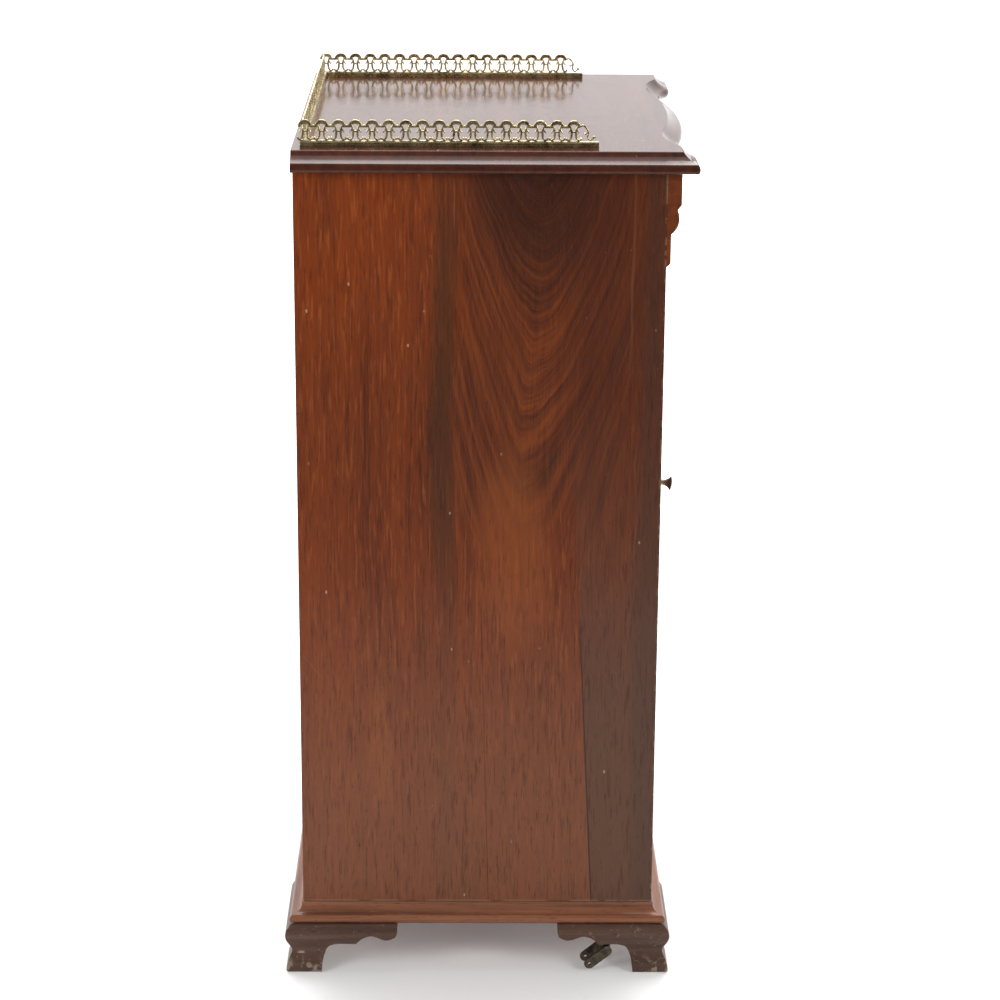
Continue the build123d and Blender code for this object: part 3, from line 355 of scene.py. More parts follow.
def side_panel(name):
    """The side panels' finish: orange-brown boards, an arched figure, wear and glue lines, with painted
    shade and a painted pool of light.
    """
    finish = Finish(name, **{"Specular IOR Level": 0.2, "Coat Roughness": 0.1, "Coat Weight": 0.04})
    place = finish.place()
    x, y, z = finish.parts(place)
    flow = finish.noise(finish.stretched(place, (1, 9, 2.4)), 1.0, detail=3)
    sway = finish.noise(finish.stretched(place, (1, 4, 3.2), (0, 11, 5)), 1.0, detail=2)
    across = y + (flow - 0.5) * 0.03 + (sway - 0.5) * 0.014
    streaks, lines, pores = grain(finish, finish.joined(x, across, z), "z")

    # The boards' own colour, the arched figure and short glints
    arches, rings = nested_arches(finish, place, across, z)
    plain = 1 - arches * 0.75
    board = finish.ramp(streaks * 0.42 + lines * 0.34 + flow * 0.24, *BOARD_COLOURS)
    figure = finish.ramp(rings * 0.85 + lines * 0.2 - 0.02, *RING_COLOURS)
    glint = finish.noise(finish.stretched(place, SHORT_STRETCH["z"], (0, 2, 0)), 330, detail=3)
    glint = finish.rise(glint, 0.52, 0.7) * plain
    colour = finish.layers(board, (arches * 0.9, figure), (glint * 0.4, GLINT_ORANGE))
    colour = broad_shades(finish, colour, across, z)

    # The front edge, the darker board at the front foot and the two glue lines
    outside = finish.rise(x.size(), *PANEL_FACE)
    rim = finish.rise(across, -0.147, -0.165) * outside
    pale_line = finish.rise((across - PALE_LINE_Y).size(), 0.0022, 0.0) * finish.rise(z, 0.62, 0.72)
    joint = from_joint(y, z, OPEN_JOINT)
    front_board = finish.rise(joint, 0.001, -0.001) * finish.rise(z, 0.66, 0.28)
    strong = finish.rise(joint.size(), 0.0011, 0.0003) * finish.rise(z, 0.41, 0.36)
    faint = from_joint(y, z, FAINT_JOINT).size()
    faint = finish.rise(faint, 0.0009, 0.0002) * finish.rise(z, 0.43, 0.4)

    # Pores, spots, nicks, scratches and rubbed edges
    flecks = finish.noise(finish.stretched(place, SHORT_STRETCH["z"]), 430, detail=3)
    flecks = finish.rise(flecks, 0.52, 0.68) * plain
    spots, nicks, thin = nicks_and_spots(finish, place, z)
    chipped = finish.rise(finish.noise(place, 110, detail=3), 0.52, 0.6)
    front_arris = outside * finish.rise(y, *FRONT_ARRIS) * chipped
    foot_line = finish.rise(z, *FOOT_LINE) * finish.rise(finish.noise(place, 30), 0.4, 0.5)
    colour = finish.layers(
        colour,
        (rim * 0.62, RIM_BROWN),
        (pale_line * 0.22, LINE_TAN),
        (front_board * 0.72, FRONT_BOARD_BROWN),
        (strong * 0.75 + faint * 0.4, GLUE_BLACK),
        (pores * 0.42 + flecks * 0.34, PORE_BLACK),
        (spots * 0.6, SPOT_BLACK),
        (nicks * 0.62 + thin * 0.1, NICK_TAN),
        (front_arris * 0.4 + foot_line * 0.4, ARRIS_TAN),
    )

    # Painted light and shade: the whole a little darker, apart from a painted pool of light on the upper
    # part at the back
    lit = finish.rise(z, 0.6, 0.78) * finish.rise(across, 0.0, 0.06)
    painted_light = finish.mix(lit, PAINTED_SHADE_GREY, PAINTED_LIGHT_WARM)
    haze = finish.noise(place, 11, detail=5, warp=0.8)
    return finish.surface(
        Base_Color=finish.mix(1.0, colour, painted_light, "MULTIPLY"),
        Roughness=0.3 + haze * 0.2 + nicks * 0.2,
        Normal=finish.bump(lines * 0.35 - pores - nicks * 1.5 - strong * 4, 0.00008),
    )


BARE_COLOURS = (0.3, (0.2, 0.11, 0.055)), (0.55, (0.36, 0.22, 0.12)), (0.75, (0.45, 0.3, 0.17))
BARE_PORES = (0.12, 0.06, 0.03)
STEEL_COLOURS = (0.35, (0.1, 0.09, 0.08)), (0.65, (0.34, 0.33, 0.32))


def bare_wood(name, axis):
    """Unpolished pale wood of the inner boards."""
    finish = Finish(name, **{"Specular IOR Level": 0.25})
    place = finish.place()
    streaks, lines, pores = grain(finish, place, axis)
    tone = streaks * 0.6 + lines * 0.3 + finish.noise(place, 6) * 0.15
    colour = finish.ramp(tone, *BARE_COLOURS)
    return finish.surface(
        Base_Color=finish.mix(pores * 0.4, colour, BARE_PORES),
        Roughness=0.62 + streaks * 0.15,
        Normal=finish.bump(lines * 0.6 - pores, 0.0001),
    )


def aged_brass(name, bright, dull, dirt, rough=0.32, grime=0.5, scale=1.0):
    """Brass with patches of tarnish and of brighter rubbed metal, spread at random."""
    finish = Finish(name, Metallic=1.0, **{"Specular IOR Level": 0.5})
    place = finish.place()
    patches = finish.noise(place, 90 * scale, detail=5, rough=0.65, warp=0.6)
    specks = finish.noise(place, 900 * scale, detail=3)
    tone = patches * 0.7 + specks * 0.3
    colour = finish.ramp(tone, (0.33, dirt), (0.48, dull), (0.66, bright))
    stain = finish.rise(finish.noise(place, 38 * scale, detail=4), 0.5, 0.66) * grime
    colour = finish.mix(stain, colour, dirt)
    return finish.surface(
        Base_Color=colour,
        Metallic=1 - stain * 0.35,
        Roughness=rough + stain * 0.3 + specks * 0.12,
        Normal=finish.bump(patches + specks * 0.5, 0.00012),
    )


def turned_steel(name):
    """Dull steel of old screws."""
    finish = Finish(name, Metallic=1.0)
    spots = finish.noise(finish.place(), 700, detail=4)
    return finish.surface(
        Base_Color=finish.ramp(spots, *STEEL_COLOURS),
        Roughness=0.38 + spots * 0.2,
        Normal=finish.bump(spots, 0.00005),
    )


CASE = dict(pale=(0.22, 0.052, 0.014), middle=(0.14, 0.034, 0.011), dark=(0.06, 0.018, 0.009),
            gloss=0.22, coat=0.06)
TOP = dict(pale=(0.1, 0.028, 0.015), middle=(0.06, 0.018, 0.011), dark=(0.022, 0.01, 0.008),
           rough=0.12, coat=0.0, gloss=0.2, worn=0.12, relief=0.3)
BASE = dict(pale=(0.32, 0.125, 0.062), middle=(0.2, 0.076, 0.039), dark=(0.065, 0.027, 0.017),
            rough=0.34, gloss=0.22, coat=0.06, worn=0.6)
FOOT = dict(pale=(0.11, 0.06, 0.04), middle=(0.075, 0.039, 0.027), dark=(0.035, 0.018, 0.013),
            rough=0.42, gloss=0.25, coat=0.05, worn=0.9, scuffed=0.6)
DOOR = dict(pale=(0.22, 0.058, 0.02), middle=(0.14, 0.036, 0.014), dark=(0.058, 0.018, 0.01))
WOODS = {"case_wood": CASE, "top_wood": TOP, "base_wood": BASE, "door_wood": DOOR,
         "foot_wood": FOOT}
BRASSES = {
    "gallery_brass": dict(bright=(0.95, 0.8, 0.5), dull=(0.52, 0.43, 0.24), dirt=(0.09, 0.072, 0.045),
                          rough=0.2, grime=0.45),
    "caster_brass": dict(bright=(0.2, 0.16, 0.11), dull=(0.1, 0.08, 0.06), dirt=(0.03, 0.026, 0.022),
                         rough=0.45),
    "knob_brass": dict(bright=(0.6, 0.5, 0.36), dull=(0.3, 0.25, 0.18), dirt=(0.09, 0.075, 0.06),
                       rough=0.38, scale=1.5),
}
FITTING_BRASS = dict(bright=(0.7, 0.55, 0.28), dull=(0.38, 0.3, 0.16), dirt=(0.1, 0.08, 0.05))
finishes = {}


def finish_of(slot, axis):
    """The finish of a material slot on a piece whose grain runs along an axis, made once."""
    key = slot, axis
    if key not in finishes:
        name = f"{slot}_{axis}"
        if slot in WOODS:
            finishes[key] = mahogany(name, axis, **WOODS[slot])
        elif slot == "inner_wood":
            finishes[key] = bare_wood(name, axis)
        elif slot == "screw_steel":
            finishes[key] = turned_steel(name)
        else:
            finishes[key] = aged_brass(name, **BRASSES.get(slot, FITTING_BRASS))
    return finishes[key]


def longest_axis(node):
    low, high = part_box(node)
    size = high - low
    return "xyz"[max(range(3), key=lambda n: size[n])]


def slot_of(node):
    """The record's material slot of a CAD node."""
    name = frame["nodes"][node].material_slots[0].material.name
    return name.split(".")[0]


# Meshes
def make_piece(name, points, faces, node, smooth=40, finish=None):
    """A mesh that stands for a CAD node: it rides where the node does and takes its finish."""
    mesh = bpy.data.meshes.new(name)
    mesh.from_pydata([tuple(p) for p in points], [], faces)
    mesh.validate()
    mesh.update()
    for face in mesh.polygons:
        face.use_smooth = True
    mesh.set_sharp_from_angle(angle=smooth * DEGREE)
    piece = bpy.data.objects.new(name, mesh)
    bpy.context.scene.collection.objects.link(piece)
    slot = slot_of(node)
    mesh.materials.append(finish_of(finish or slot, longest_axis(node)))
    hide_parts(node)
    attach(piece, body_with(node))
    return piece


def body_with(node):
    bodies = frame["record"]["behaviour"]["bodies"]
    return next(name for name, members in bodies.items() if node in members)


def arc(start, middle, end, count):
    """Points along the arc through three points, the first one left out."""
    ax, ay = start
    bx, by = middle
    cx, cy = end
    a2, b2, c2 = ax**2 + ay**2, bx**2 + by**2, cx**2 + cy**2
    d = 2 * (ax * (by - cy) + bx * (cy - ay) + cx * (ay - by))
    ux = (a2 * (by - cy) + b2 * (cy - ay) + c2 * (ay - by)) / d
    uy = (a2 * (cx - bx) + b2 * (ax - cx) + c2 * (bx - ax)) / d
    radius = math.hypot(ax - ux, ay - uy)
    first = math.atan2(ay - uy, ax - ux)
    half = math.atan2(by - uy, bx - ux)
    last = math.atan2(cy - uy, cx - ux)
    turn = (last - first) % (2 * math.pi)
    if (half - first) % (2 * math.pi) > turn:
        turn -= 2 * math.pi
    angles = [first + turn * n / count for n in range(1, count + 1)]
    return [(ux + radius * math.cos(t), uy + radius * math.sin(t)) for t in angles]


def curve_through(points, count):
    """A smooth curve through points of any length, with a number of steps between each two."""
    padded = [points[0], *points, points[-1]]
    line = []
    for n in range(len(points) - 1):
        a, b, c, d = (Vector(p) for p in padded[n : n + 4])
        for step in range(count):
            t = step / count
            line.append(0.5 * (2 * b + (c - a) * t + (2 * a - 5 * b + 4 * c - d) * t**2
                               + (3 * b - a - 3 * c + d) * t**3))
    return line + [Vector(points[-1])]


def strip_faces(rows, columns, closed_columns=False):
    """Faces of a grid of points, row by row; closed columns join the last one to the first."""
    faces = []
    for r in range(rows - 1):
        here, below = r * columns, (r + 1) * columns
        for c in range(columns if closed_columns else columns - 1):
            beside = (c + 1) % columns
            faces.append((here + c, here + beside, below + beside, below + c))
    return faces


# Top: a serpentine front of tangent arcs, and a moulded edge on three sides, in millimetres
EDGE_RUN = 16.0
POCKET_OFFSET = 150.0
POCKET_DEPTH = 14.6
BOW_DEPTH = 13.1
POCKET_RADIUS = 200.0
SHOULDER_RADIUS = 130.0
LOBE_RADIUS = 25.0
ARC_STEPS = 14
SIDE_STEPS = 20

# The edge's moulding, as (out, down) from the edge of the flat: a hollow, a quirk and a nose
FLAT_ARRIS = (-0.5, 0), (0.0, -0.15)
HOLLOW_MIDDLE = (6.15, -6.55)
NOSE_TOP = (13.6, -10.5)
QUIRK = (13.35, -10.45), (13.75, -10.6)
NOSE_MIDDLE = (EDGE_RUN, -15.25)
NOSE_FOOT = (14.2, -20.0)
FOOT_ARRIS = (14.0, -19.8), (13.6, -20.0)
MOULDING_STEPS = 10
LEAST_MITRE = 0.3
SHORTEST_WAY = 0.001


def arc_of_radius(start, end, radius, count):
    """Points from start to end along an arc; a positive radius bulges to the left of the way."""
    (x0, y0), (x1, y1) = start, end
    half = math.hypot(x1 - x0, y1 - y0) / 2
    rise = math.copysign(abs(radius) - math.sqrt(radius**2 - half**2), radius)
    middle_x = (x0 + x1) / 2 - (y1 - y0) / (2 * half) * rise
    middle_y = (y0 + y1) / 2 + (x1 - x0) / (2 * half) * rise
    return arc(start, (middle_x, middle_y), end, count)


def top_outline(low, high):
    """The edge of the flat of the top, from the back left corner round the front to the back right."""
    lobe_y = low.y / MM + EDGE_RUN
    edge_x = high.x / MM - EDGE_RUN
    pocket_y = lobe_y + POCKET_DEPTH
    bow_y = pocket_y - BOW_DEPTH
    bow_radius = (POCKET_OFFSET**2 + BOW_DEPTH**2) / (2 * BOW_DEPTH) - POCKET_RADIUS
    bow_end = POCKET_OFFSET * bow_radius / (bow_radius + POCKET_RADIUS)
    bow_end_y = bow_y + bow_radius - math.sqrt(bow_radius**2 - bow_end**2)
    reach = math.sqrt(2 * POCKET_DEPTH * (SHOULDER_RADIUS + LOBE_RADIUS) - POCKET_DEPTH**2)
    lobe_start = POCKET_OFFSET + reach
    lobe_end = POCKET_OFFSET + reach * SHOULDER_RADIUS / (SHOULDER_RADIUS + LOBE_RADIUS)
    drop = math.sqrt(SHOULDER_RADIUS**2 - (lobe_end - POCKET_OFFSET) ** 2)
    lobe_end_y = pocket_y - SHOULDER_RADIUS + drop
    back = high.y / MM
    left = [(-edge_x, back - (back - lobe_y) * n / SIDE_STEPS) for n in range(SIDE_STEPS + 1)]
    left.append((-lobe_start, lobe_y))
    left += arc_of_radius(left[-1], (-lobe_end, lobe_end_y), -LOBE_RADIUS, ARC_STEPS)
    left += arc_of_radius(left[-1], (-POCKET_OFFSET, pocket_y), SHOULDER_RADIUS, ARC_STEPS)
    left += arc_of_radius(left[-1], (-bow_end, bow_end_y), POCKET_RADIUS, ARC_STEPS)
    span = 2 * ARC_STEPS
    left += arc((-bow_end, bow_end_y), (0, bow_y), (bow_end, bow_end_y), span)[: span // 2]
    return left + [(-x, y) for x, y in reversed(left[:-1])]


def outward_ways(outline):
    """At each point of an outline, the way out of it and how much a mitre there lengthens it."""
    ways_out = []
    for n, (x, y) in enumerate(outline):
        before = outline[max(n - 1, 0)]
        after = outline[min(n + 1, len(outline) - 1)]
        ways = [Vector((x - before[0], y - before[1])), Vector((after[0] - x, after[1] - y))]
        ways = [w.normalized() for w in ways if w.length > SHORTEST_WAY]
        normals = [Vector((w.y, -w.x)) for w in ways]
        normal = sum(normals, Vector((0, 0))).normalized()
        ways_out.append((normal, 1 / max(normal.dot(normals[0]), LEAST_MITRE)))
    return ways_out


def make_top():
    low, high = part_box("top")
    outline = top_outline(low, high)
    hollow = arc((0, 0), HOLLOW_MIDDLE, NOSE_TOP, MOULDING_STEPS)
    nose = arc(NOSE_TOP, NOSE_MIDDLE, NOSE_FOOT, MOULDING_STEPS)
    profile = [*FLAT_ARRIS, *hollow[:-1], *QUIRK, *nose[:-1], *FOOT_ARRIS]
    points = []
    for (x, y), (normal, mitre) in zip(outline, outward_ways(outline)):
        for out, drop in profile:
            edge_x = x + normal.x * out * mitre
            edge_y = y + normal.y * out * mitre
            points.append(Vector((edge_x * MM, edge_y * MM, high.z + drop * MM)))
    rows, columns = len(outline), len(profile)
    last_row = (rows - 1) * columns
    faces = strip_faces(rows, columns)
    faces.append([r * columns for r in reversed(range(rows))])
    faces.append([r * columns + columns - 1 for r in range(rows)])
    faces.append([*range(columns), *(last_row + c for c in reversed(range(columns)))])
    return make_piece("polished_top", points, faces, "top")


# Gallery frets: linked arches with curled feet, each line a cast ribbon
PITCH = 16.6
RIBBON_DEPTH = 0.95
BAR_DEPTH = 0.7
SIDES = 10
BALL_RINGS = 6
CURVE_STEPS = 4
SIDE_ARCHES = 17
SIDE_FIRST = 5.2
BACK_ARCHES = 26

# One arch, as (along, up) from its middle and its foot in millimetres
ARCH_HEIGHT = 13.6
FAN_STEPS = 12
CRESCENT_FAN = (5.3, 88)
CRESCENT_DEPTH = 0.5
RIM_FAN = (6.75, 80)
LEG = ((3.9, 16.4), (3.35, 14.6), (2.5, 12.4), (2.15, 10.2), (2.2, 8.0), (2.5, 5.4), (3.2, 3.1), (4.5, 1.6),
       (6.1, 1.2), (7.2, 2.3))
LEG_CURL = (7.1, 2.8)
SPUR = ((2.6, 11.6), (3.6, 11.2), (4.5, 10.2), (5.2, 9.0))
SPUR_DEPTH = 0.6
SPUR_BEAD_RADIUS = 0.9
NECK_BAR = ((-2.6, 9.5), (0, 9.6), (2.6, 9.5))
FOOT_BAR = ((-5.6, 0.3), (0, 0.3), (5.6, 0.3))
LINK_HEIGHT = 14.3
LINK_REACH = 3.6
LINK_DEPTH = RIBBON_DEPTH * 0.75
BEAD_HEIGHT = 15.1
BEAD_RADIUS = 1.25

# The tail that ends a side gallery, as (along, up) from the middle of the last arch
TAIL = ((5.2, 14.7), (9, 16), (11.8, 14.4), (14.2, 10.9), (14.2, 8.5), (13.6, 5.6), (14.3, 3.2), (16.3, 1.5),
        (18.3, 2.6), (20.0, 4.2))
TAIL_CURL = (20.2, 4.5)
TAIL_CURL_RADIUS = 1.6
TAIL_SPUR = ((14.0, 9.6), (12.6, 8.6), (11.2, 7.9))
TAIL_BEAD = (11.0, 7.8)


def ribbon(points, line, widths, depth, place):
    """Adds a closed tube of oval section along a flat line; place puts (along, out, up) in the frame."""
    start = len(points)
    count = len(line)
    for n, here in enumerate(line):
        way = (line[min(n + 1, count - 1)] - line[max(n - 1, 0)]).normalized()
        normal = Vector((-way.y, way.x))
        width = widths(n / (count - 1))
        for s in range(SIDES):
            a = 2 * math.pi * s / SIDES
            p = here + normal * (width / 2 * math.cos(a))
            points.append(place(p.x, depth * math.sin(a), p.y))
    faces = [tuple(start + i for i in f) for f in strip_faces(count, SIDES, closed_columns=True)]
    for end in (0, count - 1):
        ring = [start + end * SIDES + s for s in range(SIDES)]
        faces.append(ring if end else ring[::-1])
    return faces


def ball(points, centre, radius, place):
    """Adds a small cast bead."""
    start = len(points)
    for r in range(1, BALL_RINGS):
        a = math.pi * r / BALL_RINGS
        for s in range(SIDES):
            b = 2 * math.pi * s / SIDES
            reach = radius * math.sin(a)
            points.append(place(centre[0] + reach * math.cos(b), reach * math.sin(b),
                                centre[1] + radius * math.cos(a)))
    rows = BALL_RINGS - 1
    faces = [tuple(start + i for i in f) for f in strip_faces(rows, SIDES, closed_columns=True)]
    faces.append([start + s for s in reversed(range(SIDES))])
    faces.append([start + (rows - 1) * SIDES + s for s in range(SIDES)])
    return faces


def fret_arch(points, along, place):
    """One arch: a thick crescent over a necked pair of legs with curled feet."""

    def at(x, z):
        return Vector((along + x, z))

    def fan(radius, spread):
        turns = [(90 + spread * (n / FAN_STEPS - 1)) * DEGREE for n in range(2 * FAN_STEPS + 1)]
        return [at(radius * math.cos(a), ARCH_HEIGHT + radius * math.sin(a)) for a in turns]

    def crescent(t):
        return 3.2 + 0.9 * math.sin(math.pi * t)

    def rim(t):
        return 1.1 + 0.5 * math.sin(math.pi * t)

    def leg(t):
        return 2.5 - 0.6 * abs(2 * t - 1)

    def spur(t):
        return 2.2 - 0.9 * t

    faces = ribbon(points, fan(*CRESCENT_FAN), crescent, CRESCENT_DEPTH, place)
    faces += ribbon(points, fan(*RIM_FAN), rim, RIBBON_DEPTH, place)
    for side in (-1, 1):
        line = curve_through([at(side * x, z) for x, z in LEG], CURVE_STEPS)
        faces += ribbon(points, line, leg, RIBBON_DEPTH, place)
        faces += ball(points, (along + side * LEG_CURL[0], LEG_CURL[1]), BEAD_RADIUS, place)
        line = curve_through([at(side * x, z) for x, z in SPUR], CURVE_STEPS)
        faces += ribbon(points, line, spur, SPUR_DEPTH, place)
        faces += ball(points, (along + side * SPUR[-1][0], SPUR[-1][1]), SPUR_BEAD_RADIUS, place)
    faces += ribbon(points, [at(*p) for p in NECK_BAR], lambda t: 1.9, BAR_DEPTH, place)
    faces += ribbon(points, [at(*p) for p in FOOT_BAR], lambda t: 0.9, BAR_DEPTH, place)
    return faces


def fret_link(points, along, place):
    """The short bar between two arches, with a bead on it."""
    middle = along + PITCH / 2
    line = [Vector((middle + x, LINK_HEIGHT)) for x in (-LINK_REACH, 0, LINK_REACH)]
    faces = ribbon(points, line, lambda t: 2.1, LINK_DEPTH, place)
    return faces + ball(points, (middle, BEAD_HEIGHT), BEAD_RADIUS, place)


def fret_tail(points, along, place):
    """The scrolled bracket that ends a side gallery at the front."""
    line = curve_through([Vector((along + x, z)) for x, z in TAIL], CURVE_STEPS)
    faces = ribbon(points, line, lambda t: 2.0 - 0.5 * t, RIBBON_DEPTH, place)
    faces += ball(points, (along + TAIL_CURL[0], TAIL_CURL[1]), TAIL_CURL_RADIUS, place)
    spur = curve_through([Vector((along + x, z)) for x, z in TAIL_SPUR], 3)
    faces += ribbon(points, spur, lambda t: 1.3, RIBBON_DEPTH, place)
    return faces + ball(points, (along + TAIL_BEAD[0], TAIL_BEAD[1]), BEAD_RADIUS, place)


def make_fret(node, count, first, place, tail):
    """A row of linked arches that stands for a gallery's strip, with a tail at the end of a side one."""
    points = []
    faces = []
    for n in range(count):
        along = first + PITCH * n
        faces += fret_arch(points, along, place)
        if n < count - 1:
            faces += fret_link(points, along, place)
    if tail:
        faces += fret_tail(points, first + PITCH * (count - 1), place)
    return make_piece(f"pierced_{node}", points, faces, node, smooth=60)


def make_gallery():
    corner_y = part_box("gallery_rail_left")[1].y
    for side, node in ((-1, "gallery_fret_left"), (1, "gallery_fret_right")):
        low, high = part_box(node)
        middle_x = (low.x + high.x) / 2

        def place(along, out, up, side=side, middle_x=middle_x, foot=low.z):
            return Vector((middle_x - side * out * MM, corner_y - along * MM, foot + up * MM))

        make_fret(node, SIDE_ARCHES, SIDE_FIRST, place, True)
    low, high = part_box("gallery_fret_back")
    middle_y = (low.y + high.y) / 2

    def place(along, out, up):
        return Vector((along * MM, middle_y + out * MM, low.z + up * MM))

    first = -PITCH * (BACK_ARCHES - 1) / 2
    make_fret("gallery_fret_back", BACK_ARCHES, first, place, False)


# Feet: mitred ogee brackets with a scrolled lower edge, in millimetres from the case's corner
FOOT_HEIGHT = 54.0
FOOT_INNER = -16.0
OGEE = ((16.3, 0.0), (17.8, 0.9), (18.1, 4.0), (17.3, 9.5), (14.6, 16.5), (12.3, 21.5), (12.1, 25.5),
        (14.6, 30.5), (17.6, 36.5), (19.0, 42.0), (18.2, 47.4), (15.6, 51.5), (13.2, FOOT_HEIGHT))
CUT_OUT = ((19.3, 0.0), (19.9, 6.0), (21.4, 16.2), (26.0, 27.0), (31.0, 30.6), (37.0, 31.9), (46.0, 32.1),
           (56.0, 32.2), (57.5, 34.2), (62.5, 39.2), (69.5, 42.3), (75.0, 42.2), (79.2, 40.5),
           (84.0, 38.4), (89.0, 37.4), (94.5, 39.2), (98.4, 42.2), (99.9, 46.5), (100.0, FOOT_HEIGHT))
OGEE_STEPS = 3
CUT_STEPS = 4
HIGHEST_CUT = 53.6
PAD_COLUMNS = 10
PAD_STEP = 2.0
FOOT_ROWS = 30

# The first column lies in the mitre, so its place along the foot follows the ogee
MITRE = None


def height_at(line, along):
    """The height of a line of (along, height) points at a place."""
    for (a, low), (b, high) in zip(line, line[1:]):
        if a <= along <= b:
            return low + (high - low) * (along - a) / max(b - a, 1e-6)
    return line[-1][1] if along > line[-1][0] else line[0][1]


def make_foot(node, corner, run, out):
    """A bracket from its mitre at a corner of the case, along run, standing out along out."""
    ogee = [(p.y, p.x) for p in curve_through([Vector(p) for p in OGEE], OGEE_STEPS)]
    scroll = curve_through([Vector(p) for p in CUT_OUT[:-1]], CUT_STEPS)
    cut = [tuple(p) for p in scroll] + [CUT_OUT[-1]]
    columns = [MITRE] + [n * PAD_STEP for n in range(PAD_COLUMNS)] + [p[0] for p in cut]
    points = []
    for along in columns:
        on_pad = along is MITRE or along < cut[0][0]
        low = 0.0 if on_pad else min(height_at(cut, along), HIGHEST_CUT)
        heights = [low + (FOOT_HEIGHT - low) * r / (FOOT_ROWS - 1) for r in range(FOOT_ROWS)]
        for up in heights:
            reach = height_at(ogee, up)
            points.append((-reach if along is MITRE else along, reach, up))
        inner = -FOOT_INNER if along is MITRE else max(along, -FOOT_INNER)
        points += [(inner, FOOT_INNER, up) for up in reversed(heights)]
    width = 2 * FOOT_ROWS
    faces = strip_faces(len(columns), width, closed_columns=True)
    faces.append(list(reversed(range(width))))
    faces.append([(len(columns) - 1) * width + n for n in range(width)])
    placed = [corner + (run * a + out * o) * MM + Vector((0, 0, up * MM)) for a, o, up in points]
    if run.cross(out).z < 0:
        faces = [tuple(reversed(f)) for f in faces]
    return make_piece(f"bracket_{node}", placed, faces, node, smooth=50, finish="foot_wood")


def make_feet():
    low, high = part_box("side_left")
    right_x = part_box("side_right")[1].x
    for depth_name, y, inward in (("front", low.y, 1), ("back", high.y, -1)):
        for side_name, x, out_x in (("left", low.x, -1), ("right", right_x, 1)):
            corner = Vector((x, y, 0))
            along_y, along_x = Vector((0, inward, 0)), Vector((-out_x, 0, 0))
            name = f"foot_{depth_name}_{side_name}"
            make_foot(f"{name}_side", corner, along_y, Vector((out_x, 0, 0)))
            make_foot(f"{name}_end", corner, along_x, Vector((0, -inward, 0)))


# Knob: a small turned trumpet, as (out from the door, radius) in millimetres
KNOB_RADII = ((0.0, 3.6), (1.2, 3.6), (2.2, 3.05), (4.4, 2.9), (6.6, 3.05), (8.4, 3.6), (10.9, 5.0),
              (12.2, 6.6), (12.6, 7.15), (13.3, 7.2), (13.7, 6.7), (13.9, 4.4), (14.4, 3.8), (14.5, 3.0))
KNOB_HEIGHT = 0.528
KNOB_DROOP = 7.0
KNOB_SIDES = 48
KNOB_STEPS = 4


def make_knob():
    low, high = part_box("knob")
    centre = Vector(((low.x + high.x) / 2, high.y, KNOB_HEIGHT))
    turned = curve_through([Vector(p) for p in KNOB_RADII], KNOB_STEPS)
    droop = Matrix.Rotation(KNOB_DROOP * DEGREE, 3, "X")
    points = []
    for p in turned:
        for s in range(KNOB_SIDES):
            a = 2 * math.pi * s / KNOB_SIDES
            spoke = Vector((p.y * math.cos(a), -p.x, p.y * math.sin(a)))
            points.append(centre + droop @ spoke * MM)
    faces = strip_faces(len(turned), KNOB_SIDES, closed_columns=True)
    faces.append(list(reversed(range(KNOB_SIDES))))
    faces.append([(len(turned) - 1) * KNOB_SIDES + s for s in range(KNOB_SIDES)])
    return make_piece("turned_knob", points, faces, "knob", smooth=35)


# Floor and lights
WHITE = (1, 1, 1)
FLOOR_PALE = (0.9, 0.9, 0.9)
FLOOR_DULL = (0.87, 0.87, 0.875)
LIFT_NEAR = (0.12, 0.12, 0.12)
LIFT_FAR = (0.6, 0.6, 0.6)
FLOOR_NEAR = -1.45
FLOOR_FAR = 14.0
FLOOR_SIDE = 9.0
FLOOR_FADE = (1.5, 20.0)
PANEL_MIDDLE = (-0.245, 0, 0.5)
SOFTBOXES = {
    "softbox_front": dict(place=(-2.0, -2.4, 1.7), target=PANEL_MIDDLE, size=(1.4, 1.4), power=42),
    "softbox_back": dict(place=(-2.0, 2.4, 1.7), target=PANEL_MIDDLE, size=(1.4, 1.4), power=42),
    "softbox_above": dict(place=(2.6, 0, 3.4), target=(1.6, 0, 0), size=(3.0, 4.0), power=210),
    "softbox_over": dict(place=(0.75, 0, 3.2), target=(0.6, 0, 0), size=(1.5, 2.6), power=32),
}

# The room's light by the way that it comes from, as (from, to, least light, most light)
LIGHT_BEHIND = (-0.25, 0.45, 0.1, 1.35)
LIGHT_ABOVE = (0.1, 0.8, 0.0, 0.3)


def make_floor():
    """A pale floor that glows a little, and more so far behind the cabinet."""
    finish = Finish("pale_floor", **{"Specular IOR Level": 0.2, "Emission Strength": 1.0})
    place = finish.place()
    tone = finish.noise(place, 2.5, detail=3)
    x, y, _ = finish.parts(place)
    far_off = finish.rise(x * x + y * y, *FLOOR_FADE)
    material = finish.surface(
        Base_Color=finish.mix(tone, FLOOR_PALE, FLOOR_DULL),
        Roughness=0.6 + tone * 0.1,
        Emission_Color=finish.mix(far_off, LIFT_NEAR, LIFT_FAR),
    )
    corners = [(FLOOR_NEAR, -FLOOR_SIDE, 0), (FLOOR_FAR, -FLOOR_SIDE, 0),
               (FLOOR_FAR, FLOOR_SIDE, 0), (FLOOR_NEAR, FLOOR_SIDE, 0)]
    mesh = bpy.data.meshes.new("floor")
    mesh.from_pydata(corners, [], [(0, 1, 2, 3)])
    mesh.materials.append(material)
    floor = bpy.data.objects.new("floor", mesh)
    bpy.context.scene.collection.objects.link(floor)


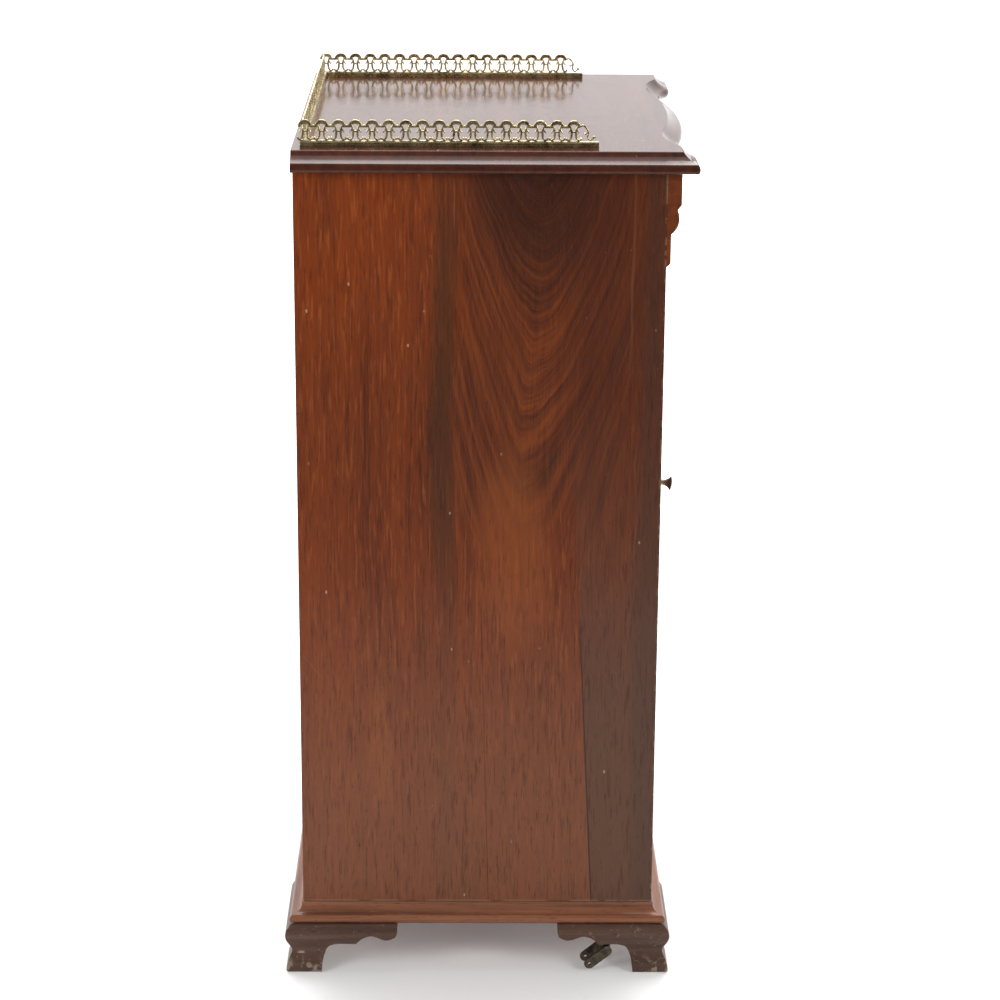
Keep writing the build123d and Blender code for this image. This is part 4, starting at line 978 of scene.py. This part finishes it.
def add_softbox(name, place, target, size, power):
    light = bpy.data.lights.new(name, "AREA")
    light.shape = "RECTANGLE"
    light.size, light.size_y = size
    light.energy = power
    box = bpy.data.objects.new(name, light)
    box.location = place
    box.rotation_euler = (Vector(target) - Vector(place)).to_track_quat("-Z", "Y").to_euler()
    bpy.context.scene.collection.objects.link(box)


def light_room():
    """A room that is brighter above and behind, with white paper where the camera sees it."""
    world = bpy.data.worlds.new("studio")
    bpy.context.scene.world = world
    world.use_nodes = True
    studio = Nodes(world.node_tree)
    x, _, z = studio.parts(studio.node("ShaderNodeTexCoord").outputs["Generated"])
    behind = studio.step(x, *LIGHT_BEHIND)
    above = studio.step(z, *LIGHT_ABOVE)
    glow = {"Color": WHITE, "Strength": behind.larger(above)}
    room = studio.node("ShaderNodeBackground", inputs=glow)
    paper = studio.node("ShaderNodeBackground", inputs={"Color": WHITE, "Strength": 1.0})
    camera_ray = studio.node("ShaderNodeLightPath").outputs["Is Camera Ray"]
    sheets = {0: camera_ray, 1: room.outputs[0], 2: paper.outputs[0]}
    seen = studio.node("ShaderNodeMixShader", inputs=sheets)
    studio.node("ShaderNodeOutputWorld", inputs={0: seen.outputs[0]})


def light_studio():
    """The four softboxes and the room."""
    for name, box in SOFTBOXES.items():
        add_softbox(name, **box)
    light_room()


# Camera
CAMERA_PLACE = (-3.02728, 0.01729, 1.38963)
CAMERA_YAW = -0.0118
CAMERA_PITCH = 0.3022
CAMERA_ROLL = 0.0065
CAMERA_LENS = 103.07
SENSOR = 36.0


def set_camera():
    flat = math.cos(CAMERA_PITCH)
    forward = Vector((math.cos(CAMERA_YAW) * flat, math.sin(CAMERA_YAW) * flat, -math.sin(CAMERA_PITCH)))
    level = Vector((math.sin(CAMERA_YAW), -math.cos(CAMERA_YAW), 0))
    upright = level.cross(forward)
    right = level * math.cos(CAMERA_ROLL) + upright * math.sin(CAMERA_ROLL)
    up = upright * math.cos(CAMERA_ROLL) - level * math.sin(CAMERA_ROLL)
    data = bpy.data.cameras.new("camera")
    data.lens = CAMERA_LENS
    data.sensor_width = SENSOR
    camera = bpy.data.objects.new("camera", data)
    turn = Matrix((right, up, -forward)).transposed()
    camera.matrix_world = Matrix.Translation(CAMERA_PLACE) @ turn.to_4x4()
    bpy.context.scene.collection.objects.link(camera)
    bpy.context.scene.camera = camera
    bpy.context.scene.view_settings.view_transform = "Standard"


def finish_for(node):
    """The finish of a CAD node: that of its slot, apart from four nodes with one of their own."""
    if node == "foot_blocks":
        return finish_of("inner_wood", "x")
    if node == "case_bottom":
        return finish_of("case_wood", "x")
    if node in ("side_left", "side_right"):
        return side_panel(f"figured_{node}")
    return finish_of(slot_of(node), longest_axis(node))


set_camera()
light_studio()
make_floor()
make_top()
make_gallery()
make_feet()
make_knob()

for node, shape in frame["nodes"].items():
    finish = finish_for(node)
    for material_slot in shape.material_slots:
        material_slot.material = finish
